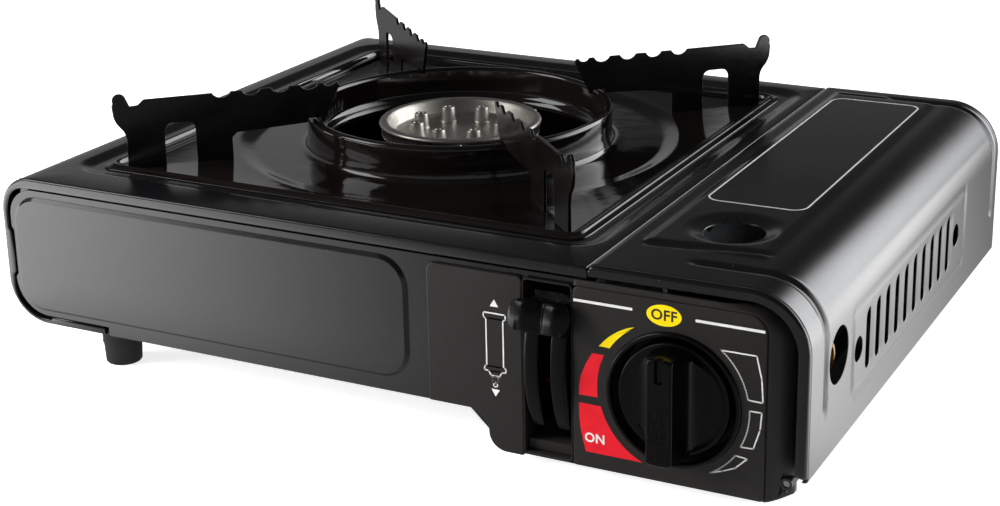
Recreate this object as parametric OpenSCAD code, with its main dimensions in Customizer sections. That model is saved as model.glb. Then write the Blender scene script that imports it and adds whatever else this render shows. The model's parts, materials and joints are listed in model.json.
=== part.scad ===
// Butane cassette stove: a two-part pressed steel casing with an enamelled drip pan and four pot
// arms over the burner on the left, and a cartridge bay under a hinged lid on the right.
// Frame: +X to the right as the user stands, -Y towards the user, +Z up. The origin is under the
// middle of the stove's box, on the plane that the feet stand on.

/* [Casing] */
// Overall width, left wall to lid side
body_w = 342; // [336:1:352]
// Depth of the sheet metal, front plane to back plane
body_d = 263; // [260:1:275]
// Height of the cover's top surface over the table
cover_z = 80; // [78:0.5:84]
// Underside of the burner side
burner_floor_z = 18.5; // [16:0.5:20]
// Underside of the cartridge bay
bay_floor_z = 3.5; // [3:0.5:5]
// Width of the cartridge bay, seam to lid side
bay_w = 81.8; // [80:0.2:86]
// Thickness of the casing's sheet steel
sheet = 0.6; // [0.5:0.1:0.8]
// Radius of the cover's upper left shoulder
shoulder_r = 15; // [12:1:18]
// Radius of the cover's lower left corner
belly_r = 18; // [14:1:20]
// Depth of the flange that frames the front and the back, on top
flange_top = 4.4; // [3.5:0.1:5]
// Depth of the same flange down the sides
flange_side = 3.2; // [2.6:0.1:4]
// How far the cover's lip runs under the burner side
lip_w = 47; // [40:1:55]
// Gap between nested sheets
nest = 0.3; // [0.2:0.05:0.4]
// Radius of the S-shaped step between the two floors
step_r = 7.5; // [6:0.5:8]

/* [Lid] */
// How far the lid's top rises from the seam to the shoulder
lid_crown = 1.3; // [0.5:0.1:2]
// Radius of the lid's shoulder
lid_r = 22; // [18:1:26]
// Height of the lid's lower edge
lid_hem_z = 13.5; // [12.5:0.5:15]
// Gap between the cover and the lid along the seam
seam_gap = 0.5; // [0.3:0.1:1]
// Radius of the sight hole in the lid's top
sight_r = 10.8; // [8:0.2:12]
// Radius of the regulator hole in the lid's side
plug_hole_r = 10.5; // [8:0.5:11]
// Number of louvres in the lid's side
louvre_n = 10; // [6:1:12]
// Distance between louvres
louvre_pitch = 12.3; // [11:0.1:13]
// Height of a louvre
louvre_h = 23.6; // [18:0.2:26]
// Width of a louvre's slot
louvre_w = 5.6; // [4:0.2:6]
// Angle to which the lid opens
lid_open = 92; // [80:1:95]

/* [Hinge] */
// Radius of the hinge rod
rod_r = 1.3; // [1:0.1:1.5]
// Outer radius of a knuckle
knuckle_r = 2.2; // [2.1:0.1:2.4]
// Running clearance of every pin in its hole
pin_gap = 0.05; // [0.02:0.01:0.1]

/* [Drip pan] */
// Side of the square drip pan
pan_w = 218; // [214:1:222]
// Thickness of the enamelled sheet
pan_t = 0.8; // [0.6:0.1:1]
// Radius of the round dish in the pan
dish_r = 97; // [94:1:98]
// Drop from the pan's corners to the floor of its dish
dish_drop = 2; // [1.5:0.5:2.5]
// Outer radius of the collar round the burner
collar_r = 65.5; // [62:0.5:67]
// Height of the collar over the floor of the dish
collar_h = 15.5; // [13:0.5:16]
// Radius of the opening inside the collar
pan_hole_r = 59; // [56:0.5:60]

/* [Pot arms] */
// Thickness of a pot arm's sheet
arm_t = 1.4; // [1.2:0.1:2]
// Height of the pot arms' flat tops
pot_z = 105.6; // [102:0.2:108]
// Number of scallops in an arm
scallop_n = 4; // [3:1:4]
// Distance between scallops
scallop_pitch = 12.2; // [11:0.1:12.4]
// Depth of a scallop
scallop_h = 2.3; // [1.5:0.1:2.6]

/* [Burner] */
// Radius of the burner's rim
burner_r = 35; // [32:0.5:38]
// Height of the burner's rim
burner_z = 84.5; // [83:0.5:86]
// Number of flame ports
port_n = 60; // [40:4:72]
// Number of nozzles in the burner's dish
stub_n = 8; // [6:1:8]
// Radius of the mixing tube
tube_r = 6.5; // [5.5:0.1:6.8]
// Height of the mixing tube's axis
tube_z = 27.3; // [27.2:0.1:27.6]

/* [Controls] */
// Knob's distance from the lid side
knob_in = 48.4; // [46:0.2:52]
// Height of the knob's axis
knob_z = 36.8; // [34:0.2:39]
// Radius of the knob's disc
knob_r = 21; // [19:0.5:22]
// How far the knob stands out from the front plane
knob_reach = 15; // [12:1:18]
// Width of the knob's grip
grip_w = 12.2; // [10:0.2:14]
// Gap round the knob in its well
knob_gap = 2.2; // [1:0.2:2.4]
// Width of the lever's slot
slot_w = 18.4; // [18:0.2:19]
// Radius of the curved guide that the lever slides over
guide_r = 56; // [54:1:58]
// Angle that the lever turns through
lever_throw = 41; // [36:1:42]
// How far the lever draws the cartridge onto the regulator
pusher_travel = 9; // [7:0.5:9]

/* [Cartridge] */
// Radius of the gas cartridge's body
cartridge_r = 33.75; // [33.5:0.05:34]
// Length of the gas cartridge's body
cartridge_l = 185; // [180:1:186]
// Radius of the regulator's bore for the cartridge's valve
inlet_bore_r = 4; // [3.5:0.1:4.5]

/* [Feet] */
// Radius of a foot under the casing
foot_r = 8.6; // [7:0.2:9]
// Distance of the feet from the front and back planes
foot_in = 18; // [15:1:24]

/* [Hidden] */
$fn = 64;
eps = 0.01;
big = 500;

// Casing planes
x_left = -body_w / 2;
x_right = body_w / 2;
y_front = -(body_d + knob_reach) / 2 + knob_reach;
y_back = y_front + body_d;
x_seam = x_right - bay_w;
x_lip = x_left + lip_w;
floor_top = burner_floor_z + sheet;
bay_top = bay_floor_z + sheet;
x_step = x_seam - 39.4;
bay_right = x_right - 7;
bay_corner_r = 10;

// Front panel layers, as distances behind the front plane
panel_back = sheet + nest;
field_out = 0.3;
emboss_out = -0.9;
plate_out = -1.3;
field_top = cover_z - flange_top - 0.5;
plate_top = cover_z - 7;

// Controls
x_knob = x_right - knob_in;
slot_left = x_seam - 24;
slot_right = slot_left + slot_w;
slot_bottom = bay_floor_z + 2.6;
x_lever = (slot_left + slot_right) / 2;
pivot_y = y_front - 4.5 + guide_r;
pivot_z = 41;
lever_up = lever_throw / 2;
crank_r = pusher_travel / 2 / sin(lever_throw / 2);
lever_t = 3;
slit_w = 4.8;
grip_d = 4;
well_r = knob_r + knob_gap;
well_d = 9;

// Drip pan
hob_x = x_seam - 123.2;
hob_y = (y_front + y_back) / 2 + 4;
pan_corner_r = 14;
ledge_z = cover_z - 1.5;
recess_gap = 5;
pan_rim_z = ledge_z + pan_t;
corner_z = cover_z - 2.8;
dish_z = corner_z - dish_drop;
collar_z = dish_z + collar_h;

// Burner and mixing tube
jet_x = x_right - 71;
jet_y = y_front + 33;
tube_angle = atan2(jet_y - hob_y, jet_x - hob_x);
tube_reach = norm([jet_x - hob_x, jet_y - hob_y]);
tube_wall = 0.8;
neck_r = 15;
head_seat_z = burner_z - 8.5;
ear_z = 43;

// Regulator
cart_x = x_right - 46;
cart_z = bay_top + 3.6 + cartridge_r;
governor_r = 16;
governor_front = y_front + 14;
governor_back = y_front + 40;
plug_y = y_front + 37.5;
plug_z = 44.5;
guide_y = y_front + 54;
nozzle_r = 7.5;
nozzle_l = 14;
spindle_r = 4;

// Pusher
pusher_t = 1;
pusher_z = bay_top + nest;
pusher_y = guide_y + 1.2 + cartridge_l + pusher_travel + 2;

// Hinge
hinge_x = x_right - 7.7;
hinge_z = bay_floor_z + 8.2;

// ---------------------------------------------------------------- helpers

// Extrudes a drawing made in X and Z along Y, from y0 backwards through depth
module along_y(y0, depth) {
    translate([0, y0 + depth, 0]) rotate([90, 0, 0]) linear_extrude(depth) children();
}

// Extrudes a drawing made in X and Y along Z
module along_z(z0, depth) {
    translate([0, 0, z0]) linear_extrude(depth) children();
}

// Extrudes a drawing made in Y and Z along X
module along_x(x0, depth) {
    translate([x0, 0, 0]) rotate([90, 0, 90]) linear_extrude(depth) children();
}

// A cylinder on an axis along Y
module rod_y(x, z, r, y0, y1) {
    translate([x, y1, z]) rotate([90, 0, 0]) cylinder(r = r, h = y1 - y0);
}

// A cylinder on an axis along X
module rod_x(y, z, r, x0, x1) {
    translate([x0, y, z]) rotate([0, 90, 0]) cylinder(r = r, h = x1 - x0);
}

// A block between two corners
module block(a, b) {
    translate(a) cube(b - a);
}

// What a rounded corner of radius r takes off a square one; sx and sy point into the shape
module corner_cut(x, y, r, sx, sy) {
    if (r > 0)
        translate([x, y]) mirror([sx < 0 ? 1 : 0, 0]) mirror([0, sy < 0 ? 1 : 0]) difference() {
            translate([-1, -1]) square(r + 1);
            translate([r, r]) circle(r);
        }
}

// A rectangle between two corners, with its own radius at each corner
module round_box(x0, y0, x1, y1, bl = 0, br = 0, tr = 0, tl = 0) {
    difference() {
        translate([x0, y0]) square([x1 - x0, y1 - y0]);
        corner_cut(x0, y0, bl, 1, 1);
        corner_cut(x1, y0, br, -1, 1);
        corner_cut(x1, y1, tr, -1, -1);
        corner_cut(x0, y1, tl, 1, -1);
    }
}

// A rounded rectangle round a centre
module centred_box(x, y, w, d, r) {
    round_box(x - w / 2, y - d / 2, x + w / 2, y + d / 2, r, r, r, r);
}

// A slot with round ends, standing along the second axis
module round_slot(x, y, w, l) {
    translate([x, y]) {
        square([w, l - w], center = true);
        for (s = [-1, 1]) translate([0, s * (l - w) / 2]) circle(w / 2);
    }
}

// A pan head screw standing on its head's underside at z, pointing down
module screw_down(x, y, z, r, head_r, l) {
    translate([x, y, z - l]) cylinder(r = r, h = l + eps);
    translate([x, y, z]) cylinder(r1 = head_r, r2 = head_r * 0.7, h = 1.8);
}

// ---------------------------------------------------------------- casing sections, in X and Z

// Section of the cover's outside, set in by i
module cover_section(i) {
    round_box(x_left + i, burner_floor_z + i, x_seam + big, cover_z - i,
        bl = belly_r - i, tl = shoulder_r - i);
}

// Section of the opening that the cover's front and back flanges leave
module cover_mouth() {
    round_box(x_left + flange_side, burner_floor_z + flange_side, x_seam + big,
        cover_z - flange_top, bl = belly_r - flange_side, tl = shoulder_r - flange_side);
}

// Section of the room over both floors, set in by i
module floor_section(i) {
    translate([x_lip - big, burner_floor_z + i]) square([bay_right - x_lip + big - i, big]);
    round_box(x_step + i, bay_floor_z + i, bay_right - i, burner_floor_z + big / 2,
        bl = step_r - i, br = bay_corner_r - i);
    difference() {
        translate([x_step - step_r, burner_floor_z - step_r])
            square([step_r + i + eps, step_r + i + eps]);
        translate([x_step - step_r, burner_floor_z - step_r]) circle(step_r + i);
    }
}

// Section of the lid's outside, set in by i
module lid_section(i) {
    x0 = x_seam + seam_gap;
    top = cover_z + lid_crown - i;
    difference() {
        polygon([[x0, lid_hem_z], [x_right - i, lid_hem_z], [x_right - i, top],
            [x_right - lid_r - 1, top], [x0, cover_z - i]]);
        corner_cut(x_right - i, top, lid_r - i, -1, -1);
    }
}

// Outline of the front panel's raised field on the burner side
module field_outline() {
    round_box(x_left + flange_side + 0.8, burner_floor_z + flange_side + 0.4, slot_left - 6,
        field_top, bl = belly_r - flange_side, tl = shoulder_r - flange_side);
    round_box(x_lip + 1, burner_floor_z, slot_left - 6, field_top);
}

// Outline of the front panel over the cartridge bay, set in by i
module bay_outline(i) {
    intersection() {
        floor_section(i);
        round_box(x_step - step_r, bay_floor_z + i, bay_right + 1 - i, field_top - i, tr = 14);
    }
}

// Cells of the hinge that belong to the base (odd = 0) or to the lid (odd = 1)
function hinge_cuts() = [y_front + 2, y_front + 16, (y_front + y_back) / 2 - 8,
    (y_front + y_back) / 2 + 8, y_back - 16, y_back - 2];

// ---------------------------------------------------------------- casing

module base_tray() {
    cuts = hinge_cuts();
    rise = sheet + nest;
    color("#2c2b2a") difference() {
        union() {
            // Stepped floor, from the end of the cover's lip to the hinge
            along_y(y_front + panel_back + sheet, body_d - 2 * (panel_back + sheet)) difference() {
                intersection() {
                    floor_section(0);
                    translate([x_lip + nest, 0]) square([body_w, floor_top + 1]);
                }
                floor_section(sheet);
                translate([150, hinge_z - 2.6]) square(big);
            }
            // Joggle over the cover's lip and the flange inside its belly
            along_y(y_front + panel_back + sheet, body_d - 2 * (panel_back + sheet)) {
                translate([x_lip + nest, burner_floor_z]) square([sheet, rise + sheet]);
                difference() {
                    cover_section(rise);
                    cover_section(rise + sheet);
                    translate([-big, burner_floor_z + belly_r + 12]) square([2 * big, big]);
                    translate([x_lip + nest + sheet, -big]) square(2 * big);
                }
            }
            // Back wall
            along_y(y_back - panel_back - sheet, sheet) difference() {
                union() {
                    intersection() {
                        cover_section(rise);
                        floor_section(0);
                        translate([-big, 0]) square([big + x_seam - 2, big]);
                    }
                    intersection() {
                        floor_section(0);
                        round_box(x_step - step_r, bay_floor_z, bay_right, cover_z - 4.6, tr = 14);
                    }
                }
                // Vents high in the wall behind the burner
                for (k = [-3:3]) round_slot(hob_x + 14 * k, 60, 4, 16);
            }
            // Flange that the front panel is spot-welded to
            along_y(y_front + panel_back + sheet, sheet) difference() {
                intersection() {
                    floor_section(sheet / 2);
                    translate([x_lip + 14, 0]) square([body_w, burner_floor_z + 8]);
                }
                floor_section(8);
                translate([slot_left - 1, 0]) square([slot_w + 2, big]);
                translate([x_right - 22, 0]) square(big);
            }
            // Hinge knuckles and the webs that carry them
            for (k = [0:2:4]) {
                rod_y(hinge_x, hinge_z, knuckle_r, cuts[k], cuts[k + 1]);
                block([hinge_x - 1.5, cuts[k], hinge_z - 3.4],
                    [hinge_x + 0.1, cuts[k + 1], hinge_z - 1.6]);
            }
        }
        rod_y(hinge_x, hinge_z, rod_r + pin_gap, y_front, y_back);
        // Air slots under the burner
        for (s = [-1, 1]) for (k = [0:3]) along_z(burner_floor_z - 1, 3)
            round_slot(hob_x + s * (34 + 9 * k), hob_y + 20, 4, 60);
        // Air slots under the cartridge
        for (k = [0:4]) along_z(bay_floor_z - 1, 3)
            round_slot(cart_x + (k - 2) * 3.4, y_back - 70, 1.8, 40);
        for (p = foot_places()) translate([p[0], p[1], p[2] - 3]) cylinder(r = 1.9, h = 7);
        for (p = tray_screw_places()) translate([p[0], p[1], p[2] - 1]) cylinder(r = 1.6, h = 3);
    }
}

module front_panel() {
    bevel_x = x_right - 14.7;
    color("#37332f") difference() {
        union() {
            // Base layer behind the flanges of the cover and the lid
            along_y(y_front + panel_back, sheet) difference() {
                union() {
                    intersection() {
                        cover_section(sheet + nest);
                        floor_section(0);
                        translate([-big, 0]) square([big + x_seam - 1, big]);
                    }
                    intersection() {
                        bay_outline(0);
                        translate([-big, 0]) square([big + bevel_x, big]);
                    }
                }
            }
            // Raised field that fills the frame of the flanges
            along_y(y_front + field_out, panel_back) difference() {
                union() {
                    field_outline();
                    intersection() {
                        bay_outline(0);
                        translate([-big, 0]) square([big + bevel_x, big]);
                    }
                }
            }
            // Embossed rectangle on the burner side
            along_y(y_front + emboss_out, 1.5)
                round_box(x_left + 6.2, burner_floor_z + 5.8, slot_left - 48, plate_top - 0.4,
                    12, 12, 12, 12);
            // Raised plates for the lever's scale and for the knob
            along_y(y_front + plate_out, 1.9) {
                intersection() {
                    round_box(slot_left - 39.4, -1, slot_left, plate_top, 0, 0, 2.5, 3);
                    floor_section(0.3);
                }
                intersection() {
                    round_box(slot_right, bay_floor_z + 1, bevel_x, plate_top, 1.5, 1.5, 5, 2.5);
                    floor_section(0.3);
                }
            }
            // Sides of the lever's slot and the shelf at its foot
            along_y(y_front + plate_out, 9) difference() {
                round_box(slot_left - sheet, slot_bottom - sheet, slot_right + sheet,
                    plate_top + 0.6);
                translate([slot_left, slot_bottom]) square([slot_w, plate_top - slot_bottom - 0.6]);
            }
            block([slot_left, y_front + 1.6, slot_bottom - sheet],
                [slot_right, y_front + 7.7, slot_bottom + 4.6]);
            // Bevel on the right, back to the hinge
            intersection() {
                along_z(bay_floor_z, cover_z) polygon([[bevel_x - 1, y_front + plate_out],
                    [bevel_x, y_front + plate_out], [x_right - 6.1, y_front + 6.2],
                    [x_right - 6.1, y_front + 9], [x_right - 6.7, y_front + 9],
                    [x_right - 6.7, y_front + 6.4], [bevel_x - 1, y_front + 0.6]]);
                along_y(y_front - 3, 14) difference() {
                    round_box(x_step, bay_floor_z, x_right - 6, plate_top,
                        br = bay_corner_r, tr = 12);
                    translate([hinge_x - 3, bay_floor_z - 5]) square([20, 11.6]);
                }
            }
            // Well that the knob turns in
            rod_y(x_knob, knob_z, well_r + sheet, y_front + plate_out, y_front + well_d);
        }
        rod_y(x_knob, knob_z, well_r, y_front - 5, y_front + well_d - sheet);
        rod_y(x_knob, knob_z, spindle_r + 5.6, y_front, y_front + well_d + 5);
        along_y(y_front - 5, 6.6) round_box(slot_left, slot_bottom, slot_right, plate_top - 0.6);
        rod_y(hinge_x, hinge_z, knuckle_r + nest, y_front + 1.8, y_front + 20);
    }
}

module top_cover() {
    rim_w = pan_w + 2 * recess_gap;
    color("#3a3a3b") difference() {
        union() {
            // Top, left wall and the lip under the burner side
            along_y(y_front, body_d) difference() {
                cover_section(0);
                cover_section(sheet);
                translate([x_lip, -big]) square([big, big + cover_z - 2 * sheet]);
                translate([x_seam, 0]) square(big);
            }
            // Fold along the seam
            block([x_seam - sheet, y_front, cover_z - 7.5], [x_seam, y_back, cover_z]);
            // Flanges that frame the front and the back
            for (y = [y_front, y_back - sheet]) along_y(y, sheet) difference() {
                cover_section(0);
                cover_mouth();
                translate([x_lip, -big]) square([big, big + cover_z - flange_top - eps]);
                translate([x_seam, 0]) square(big);
            }
            // Recess round the drip pan
            along_z(ledge_z - sheet, cover_z - ledge_z + sheet) difference() {
                centred_box(hob_x, hob_y, rim_w, rim_w, pan_corner_r + recess_gap);
                centred_box(hob_x, hob_y, rim_w - 2 * sheet, rim_w - 2 * sheet,
                    pan_corner_r + recess_gap - sheet);
            }
            along_z(ledge_z - sheet, sheet)
                centred_box(hob_x, hob_y, rim_w, rim_w, pan_corner_r + recess_gap);
            // Small bump that marks the end of the lip
            rod_y(x_lip - 3, burner_floor_z, 1.6, y_front, y_front + 3);
        }
        along_z(cover_z - sheet - eps, 2) centred_box(hob_x, hob_y, rim_w - 2 * sheet,
            rim_w - 2 * sheet, pan_corner_r + recess_gap - sheet);
        along_z(ledge_z - 5, 10) centred_box(hob_x, hob_y, pan_w - 16, pan_w - 16, 8);
        for (p = foot_places()) if (p[0] < x_lip)
            translate([p[0], p[1], p[2] - 3]) cylinder(r = 1.9, h = 7);
    }
}

module bay_partition() {
    x0 = x_seam - 2.4;
    color("#8e8c88") difference() {
        union() {
            block([x0, y_front + 9, bay_top], [x0 + sheet, y_back - 3, cover_z - 3]);
            block([x0 - 9, y_front + 82, bay_top], [x0, y_back - 3, bay_top + sheet]);
            block([x0 - 6, y_front + 9, cover_z - 3 - sheet], [x0, y_back - 20, cover_z - 3]);
        }
        mixing_axis() cylinder(r = tube_r + 4.5, h = tube_reach + 20);
        rod_x(wire_y, wire_z, 2.5, x0 - 1, x0 + 1);
        // Gap that the pusher's arm passes through
        block([x0 - 1, y_front + 50, bay_top - 1], [x0 + 1, y_front + 81, bay_top + 4]);
        // Slots that let warm air through
        for (k = [0:5]) along_x(x0 - 0.5, sheet + 1)
            round_slot(y_front + 100 + 22 * k, cover_z - 18, 8, 16);
        // Fold of the shelf clears the pan's recess
        along_z(cover_z - 5, 10) centred_box(hob_x, hob_y, pan_w + 2 * recess_gap + 1,
            pan_w + 2 * recess_gap + 1, pan_corner_r);
    }
}

// ---------------------------------------------------------------- burner

// Axis of the mixing tube: local +Z runs from the burner's axis to the jet
module mixing_axis() {
    translate([hob_x, hob_y, tube_z]) rotate([0, 0, tube_angle]) rotate([0, 90, 0]) children();
}

// Turns about the burner's axis, so that +X points across the mixing tube
module across_tube(side) {
    translate([hob_x, hob_y, 0]) rotate([0, 0, tube_angle + 90 * side]) children();
}

module burner_base() {
    color("#a9aaab") difference() {
        union() {
            translate([hob_x, hob_y, 0]) rotate_extrude() polygon([[0, 20], [neck_r, 20],
                [neck_r, 52], [burner_r - 6, head_seat_z - 8], [burner_r - 5, head_seat_z], [0, head_seat_z]]);
            mixing_axis() cylinder(r = tube_r + 1.1, h = neck_r + 12);
            for (s = [-1, 1]) across_tube(s) block([neck_r - 1, -6, ear_z - 3], [neck_r + 15, 6, ear_z]);
        }
        // Gas way: up the neck and out under the head
        translate([hob_x, hob_y, 0]) rotate_extrude() polygon([[0, 22.5], [neck_r - 2.5, 22.5],
            [neck_r - 2.5, 52], [burner_r - 8.5, head_seat_z - 8], [burner_r - 7.5, head_seat_z + 1],
            [0, head_seat_z + 1]]);
        mixing_axis() cylinder(r = tube_r + 0.05, h = neck_r + 20);
        for (s = [-1, 1]) across_tube(s) translate([neck_r + 10, 0, ear_z - 4]) cylinder(r = 2.1, h = 6);
    }
}

module burner_head() {
    dish = burner_z - 5.6;
    color("#c9cacb") difference() {
        union() {
            translate([hob_x, hob_y, 0]) rotate_extrude() polygon([[0, dish - 1.4], [burner_r - 9, dish - 1.4],
                [burner_r - 5.5, head_seat_z + nest], [burner_r - 2.2, head_seat_z + nest],
                [burner_r - 1.8, burner_z - 4.2], [burner_r - 0.4, burner_z - 3], [burner_r, burner_z - 2],
                [burner_r - 0.3, burner_z - 0.6], [burner_r - 1.2, burner_z], [burner_r - 2.6, burner_z - 0.2],
                [burner_r - 4.6, burner_z - 3.4], [burner_r - 6.5, dish + 0.6], [burner_r - 9, dish], [0, dish]]);
            // Hollow nozzles that stand in the dish
            for (k = [0:stub_n - 1]) stub(k) cylinder(r1 = 3.4, r2 = 2.4, h = 5.9);
        }
        for (k = [0:stub_n - 1]) stub(k) translate([0, 0, -3]) cylinder(r = 1.3, h = 12);
        // Flame ports under the rim
        for (k = [0:port_n - 1]) translate([hob_x, hob_y, 0]) rotate([0, 0, 360 * k / port_n])
            block([burner_r - 6.8, -0.8, burner_z - 7], [burner_r + 1, 0.8, burner_z - 4.6]);
    }
}

// Place of nozzle k in the burner's dish
module stub(k) {
    translate([hob_x, hob_y, burner_z - 5.8]) rotate([0, 0, 360 * (k + 0.5) / stub_n])
        translate([17, 0, 0]) children();
}

module burner_bracket() {
    color("#9a9a98") for (s = [-1, 1]) across_tube(s) difference() {
        union() {
            block([neck_r + 0.6, -6, ear_z - 4.2], [neck_r + 15, 6, ear_z - 3]);
            block([neck_r + 13.8, -6, floor_top], [neck_r + 15, 6, ear_z - 3]);
            block([neck_r + 13.8, -6, floor_top], [neck_r + 26, 6, floor_top + 1.2]);
        }
        translate([neck_r + 10, 0, ear_z - 6]) cylinder(r = 2.1, h = 6);
    }
}

module burner_screws() {
    color("#d7d7d7") for (s = [-1, 1]) across_tube(s) screw_down(neck_r + 10, 0, ear_z, 2, 3.8, 7);
}

module mixing_tube() {
    mouth = tube_reach - 4;
    color("#b7b7b5") difference() {
        mixing_axis() rotate_extrude() polygon([[tube_r - tube_wall, neck_r - 4], [tube_r, neck_r - 4],
            [tube_r, mouth - 10], [tube_r + 2.4, mouth], [tube_r + 2.4 - tube_wall, mouth],
            [tube_r - tube_wall, mouth - 10]]);
        // Air shutter holes behind the bell mouth
        for (a = [0, 90]) mixing_axis() translate([0, 0, mouth - 15]) rotate([90, 0, a])
            cylinder(r = 2.2, h = 40, center = true);
    }
}

module heat_plate() {
    x0 = hob_x + neck_r + 5;
    x1 = x_seam - 2.4 - nest;
    color("#b9babb") {
        block([x0, hob_y - 9, 56], [x1, hob_y + 9, 57.2]);
        block([x1 - 1.2, hob_y - 9, 34], [x1, hob_y + 9, 57.2]);
    }
}

module electrode_at() {
    translate([hob_x, hob_y, 0]) rotate([0, 0, -62]) translate([burner_r + 6, 0, 0]) children();
}

module spark_electrode() {
    color("#d0d0d0") electrode_at() {
        translate([0, 0, 44]) cylinder(r = 0.9, h = burner_z - 48);
        translate([0, 0, burner_z - 4]) sphere(r = 0.9);
        translate([0, 0, burner_z - 4]) rotate([0, -62, 0]) cylinder(r = 0.9, h = 4.4);
    }
}

module electrode_insulator() {
    color("#efece2") difference() {
        electrode_at() {
            translate([0, 0, 48]) cylinder(r = 2.8, h = 20);
            translate([0, 0, 54]) cylinder(r = 3.8, h = 3);
        }
        electrode_at() translate([0, 0, 40]) cylinder(r = 0.95, h = 40);
    }
}

module electrode_bracket() {
    color("#9a9a98") translate([hob_x, hob_y, 0]) rotate([0, 0, -62]) difference() {
        union() {
            block([neck_r + 0.3, -5, 50], [burner_r + 11, 5, 51.2]);
            block([neck_r + 0.3, -5, 44], [neck_r + 1.5, 5, 51.2]);
        }
        translate([burner_r + 6, 0, 40]) cylinder(r = 2.85, h = 20);
    }
}

// Route of the igniter's lead, clipped along the floor under the partition
module igniter_wire() {
    riser = x_seam + 1.6;
    route = [[wire_end()[0], wire_end()[1], 43.9], [wire_end()[0], wire_end()[1], 34],
        [30, y_front + 46, wire_z], [48, wire_y, wire_z], [riser, wire_y, wire_z],
        [riser, wire_y, 60], [x_knob - 31, wire_y, 60]];
    color("#b03a2e") for (k = [0:len(route) - 2]) {
        d = route[k + 1] - route[k];
        translate(route[k]) rotate([0, acos(d[2] / norm(d)), atan2(d[1], d[0])])
            cylinder(r = 1, h = norm(d) + 0.3);
        if (k > 0) translate(route[k]) sphere(r = 1.15);
    }
}

// Where the lead runs through the partition
wire_y = y_front + 24;
wire_z = 23.5;

// Foot of the electrode, where the lead is crimped on
function wire_end() = [hob_x + (burner_r + 6) * cos(-62), hob_y + (burner_r + 6) * sin(-62)];

// ---------------------------------------------------------------- regulator and cartridge seat

module gas_governor() {
    color("#8f9193") difference() {
        union() {
            rod_y(x_knob, knob_z, governor_r, governor_front, governor_back);
            rod_y(x_knob, knob_z, 8.8, y_front + 9.6, governor_front + 1);
            rod_y(cart_x, cart_z, 11, governor_front + 12, governor_back);
            // Housing of the diaphragm, facing the lid's side
            rod_x(plug_y, plug_z, 15.5, x_right - 36, x_right - 22);
            mixing_axis() translate([0, 0, tube_reach + 4]) cylinder(r = 7, h = 14);
        }
        rod_y(x_knob, knob_z, spindle_r + pin_gap, y_front, governor_front + 14);
        rod_y(cart_x, cart_z, nozzle_r - 1.95, governor_back - 6, governor_back + 1);
        rod_x(plug_y, plug_z, 11.2, x_right - 25, x_right - 20);
        mixing_axis() translate([0, 0, tube_reach + 1]) cylinder(r = 2.55, h = 8);
        for (a = governor_screw_angles()) governor_screw_at(a) translate([0, 0, -6]) cylinder(r = 1.6, h = 12);
    }
}

function governor_screw_angles() = [45, 135, 225, 315];

// Place of a screw of the diaphragm's cover: local +Z points out through the cover
module governor_screw_at(a) {
    translate([x_right - 22, plug_y, plug_z]) rotate([0, 90, 0]) rotate([0, 0, a])
        translate([13.6, 0, 0]) children();
}

module governor_cover() {
    color("#b5b3ad") difference() {
        translate([x_right - 22, plug_y, plug_z]) rotate([0, 90, 0]) rotate_extrude()
            polygon([[5.6, 0], [15.5, 0], [15.5, 1.2], [11.4, 1.2], [10.5, 5], [5.6, 6.5]]);
        for (a = governor_screw_angles()) governor_screw_at(a) translate([0, 0, -2]) cylinder(r = 1.6, h = 12);
    }
}

module governor_plug() {
    color("#c9a04a") difference() {
        union() {
            rod_x(plug_y, plug_z, 5.5, x_right - 22, x_right - 10);
            rod_x(plug_y, plug_z, 6.2, x_right - 10.5, x_right - 5);
            rod_x(plug_y, plug_z, 7.2, x_right - 15.4, x_right - 12);
        }
        rod_x(plug_y, plug_z, 4.8, x_right - 5.6, x_right);
        block([x_right - 7.5, plug_y - 0.7, plug_z - 4], [x_right, plug_y + 0.7, plug_z + 4]);
    }
}

module governor_screws() {
    color("#d7d7d7") for (a = governor_screw_angles()) governor_screw_at(a) {
        translate([0, 0, -5]) cylinder(r = 1.5, h = 6.2);
        translate([0, 0, 1.2]) cylinder(r1 = 2.2, r2 = 1.7, h = 1.6);
    }
}

module governor_bracket() {
    color("#9a9a98") difference() {
        union() {
            block([x_knob - 18, governor_front - 1.5, bay_top], [x_knob + 14, governor_front - nest, knob_z + 8]);
            block([x_knob - 18, governor_front - 1.5, bay_top], [x_knob + 14, governor_front + 14, bay_top + 1.2]);
        }
        rod_y(x_knob, knob_z, 8.8 + nest, y_front, y_front + 30);
        translate([x_knob, governor_front + 7, bay_top - 1]) cylinder(r = 1.6, h = 4);
    }
}

// Plate that the cartridge's collar lies against, with the key that fits its notch
module guide_plate() {
    key_z = cart_z + 15.6;
    color("#9a9a98") difference() {
        union() {
            along_y(guide_y, 1.2) difference() {
                round_box(cart_x - 28, bay_top, cart_x + 26, cart_z + 26, 0, 6, 16, 16);
                translate([cart_x, cart_z]) circle(nozzle_r + 1.5);
            }
            block([cart_x - 28, guide_y - 9, bay_top], [cart_x + 18, guide_y + 1.2, bay_top + 1.2]);
            block([cart_x - 1.7, guide_y, key_z - 0.6], [cart_x + 1.7, guide_y + 5.6, key_z + 0.6]);
        }
        translate([cart_x, guide_y - 5, bay_top - 1]) cylinder(r = 1.6, h = 4);
    }
}

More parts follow.
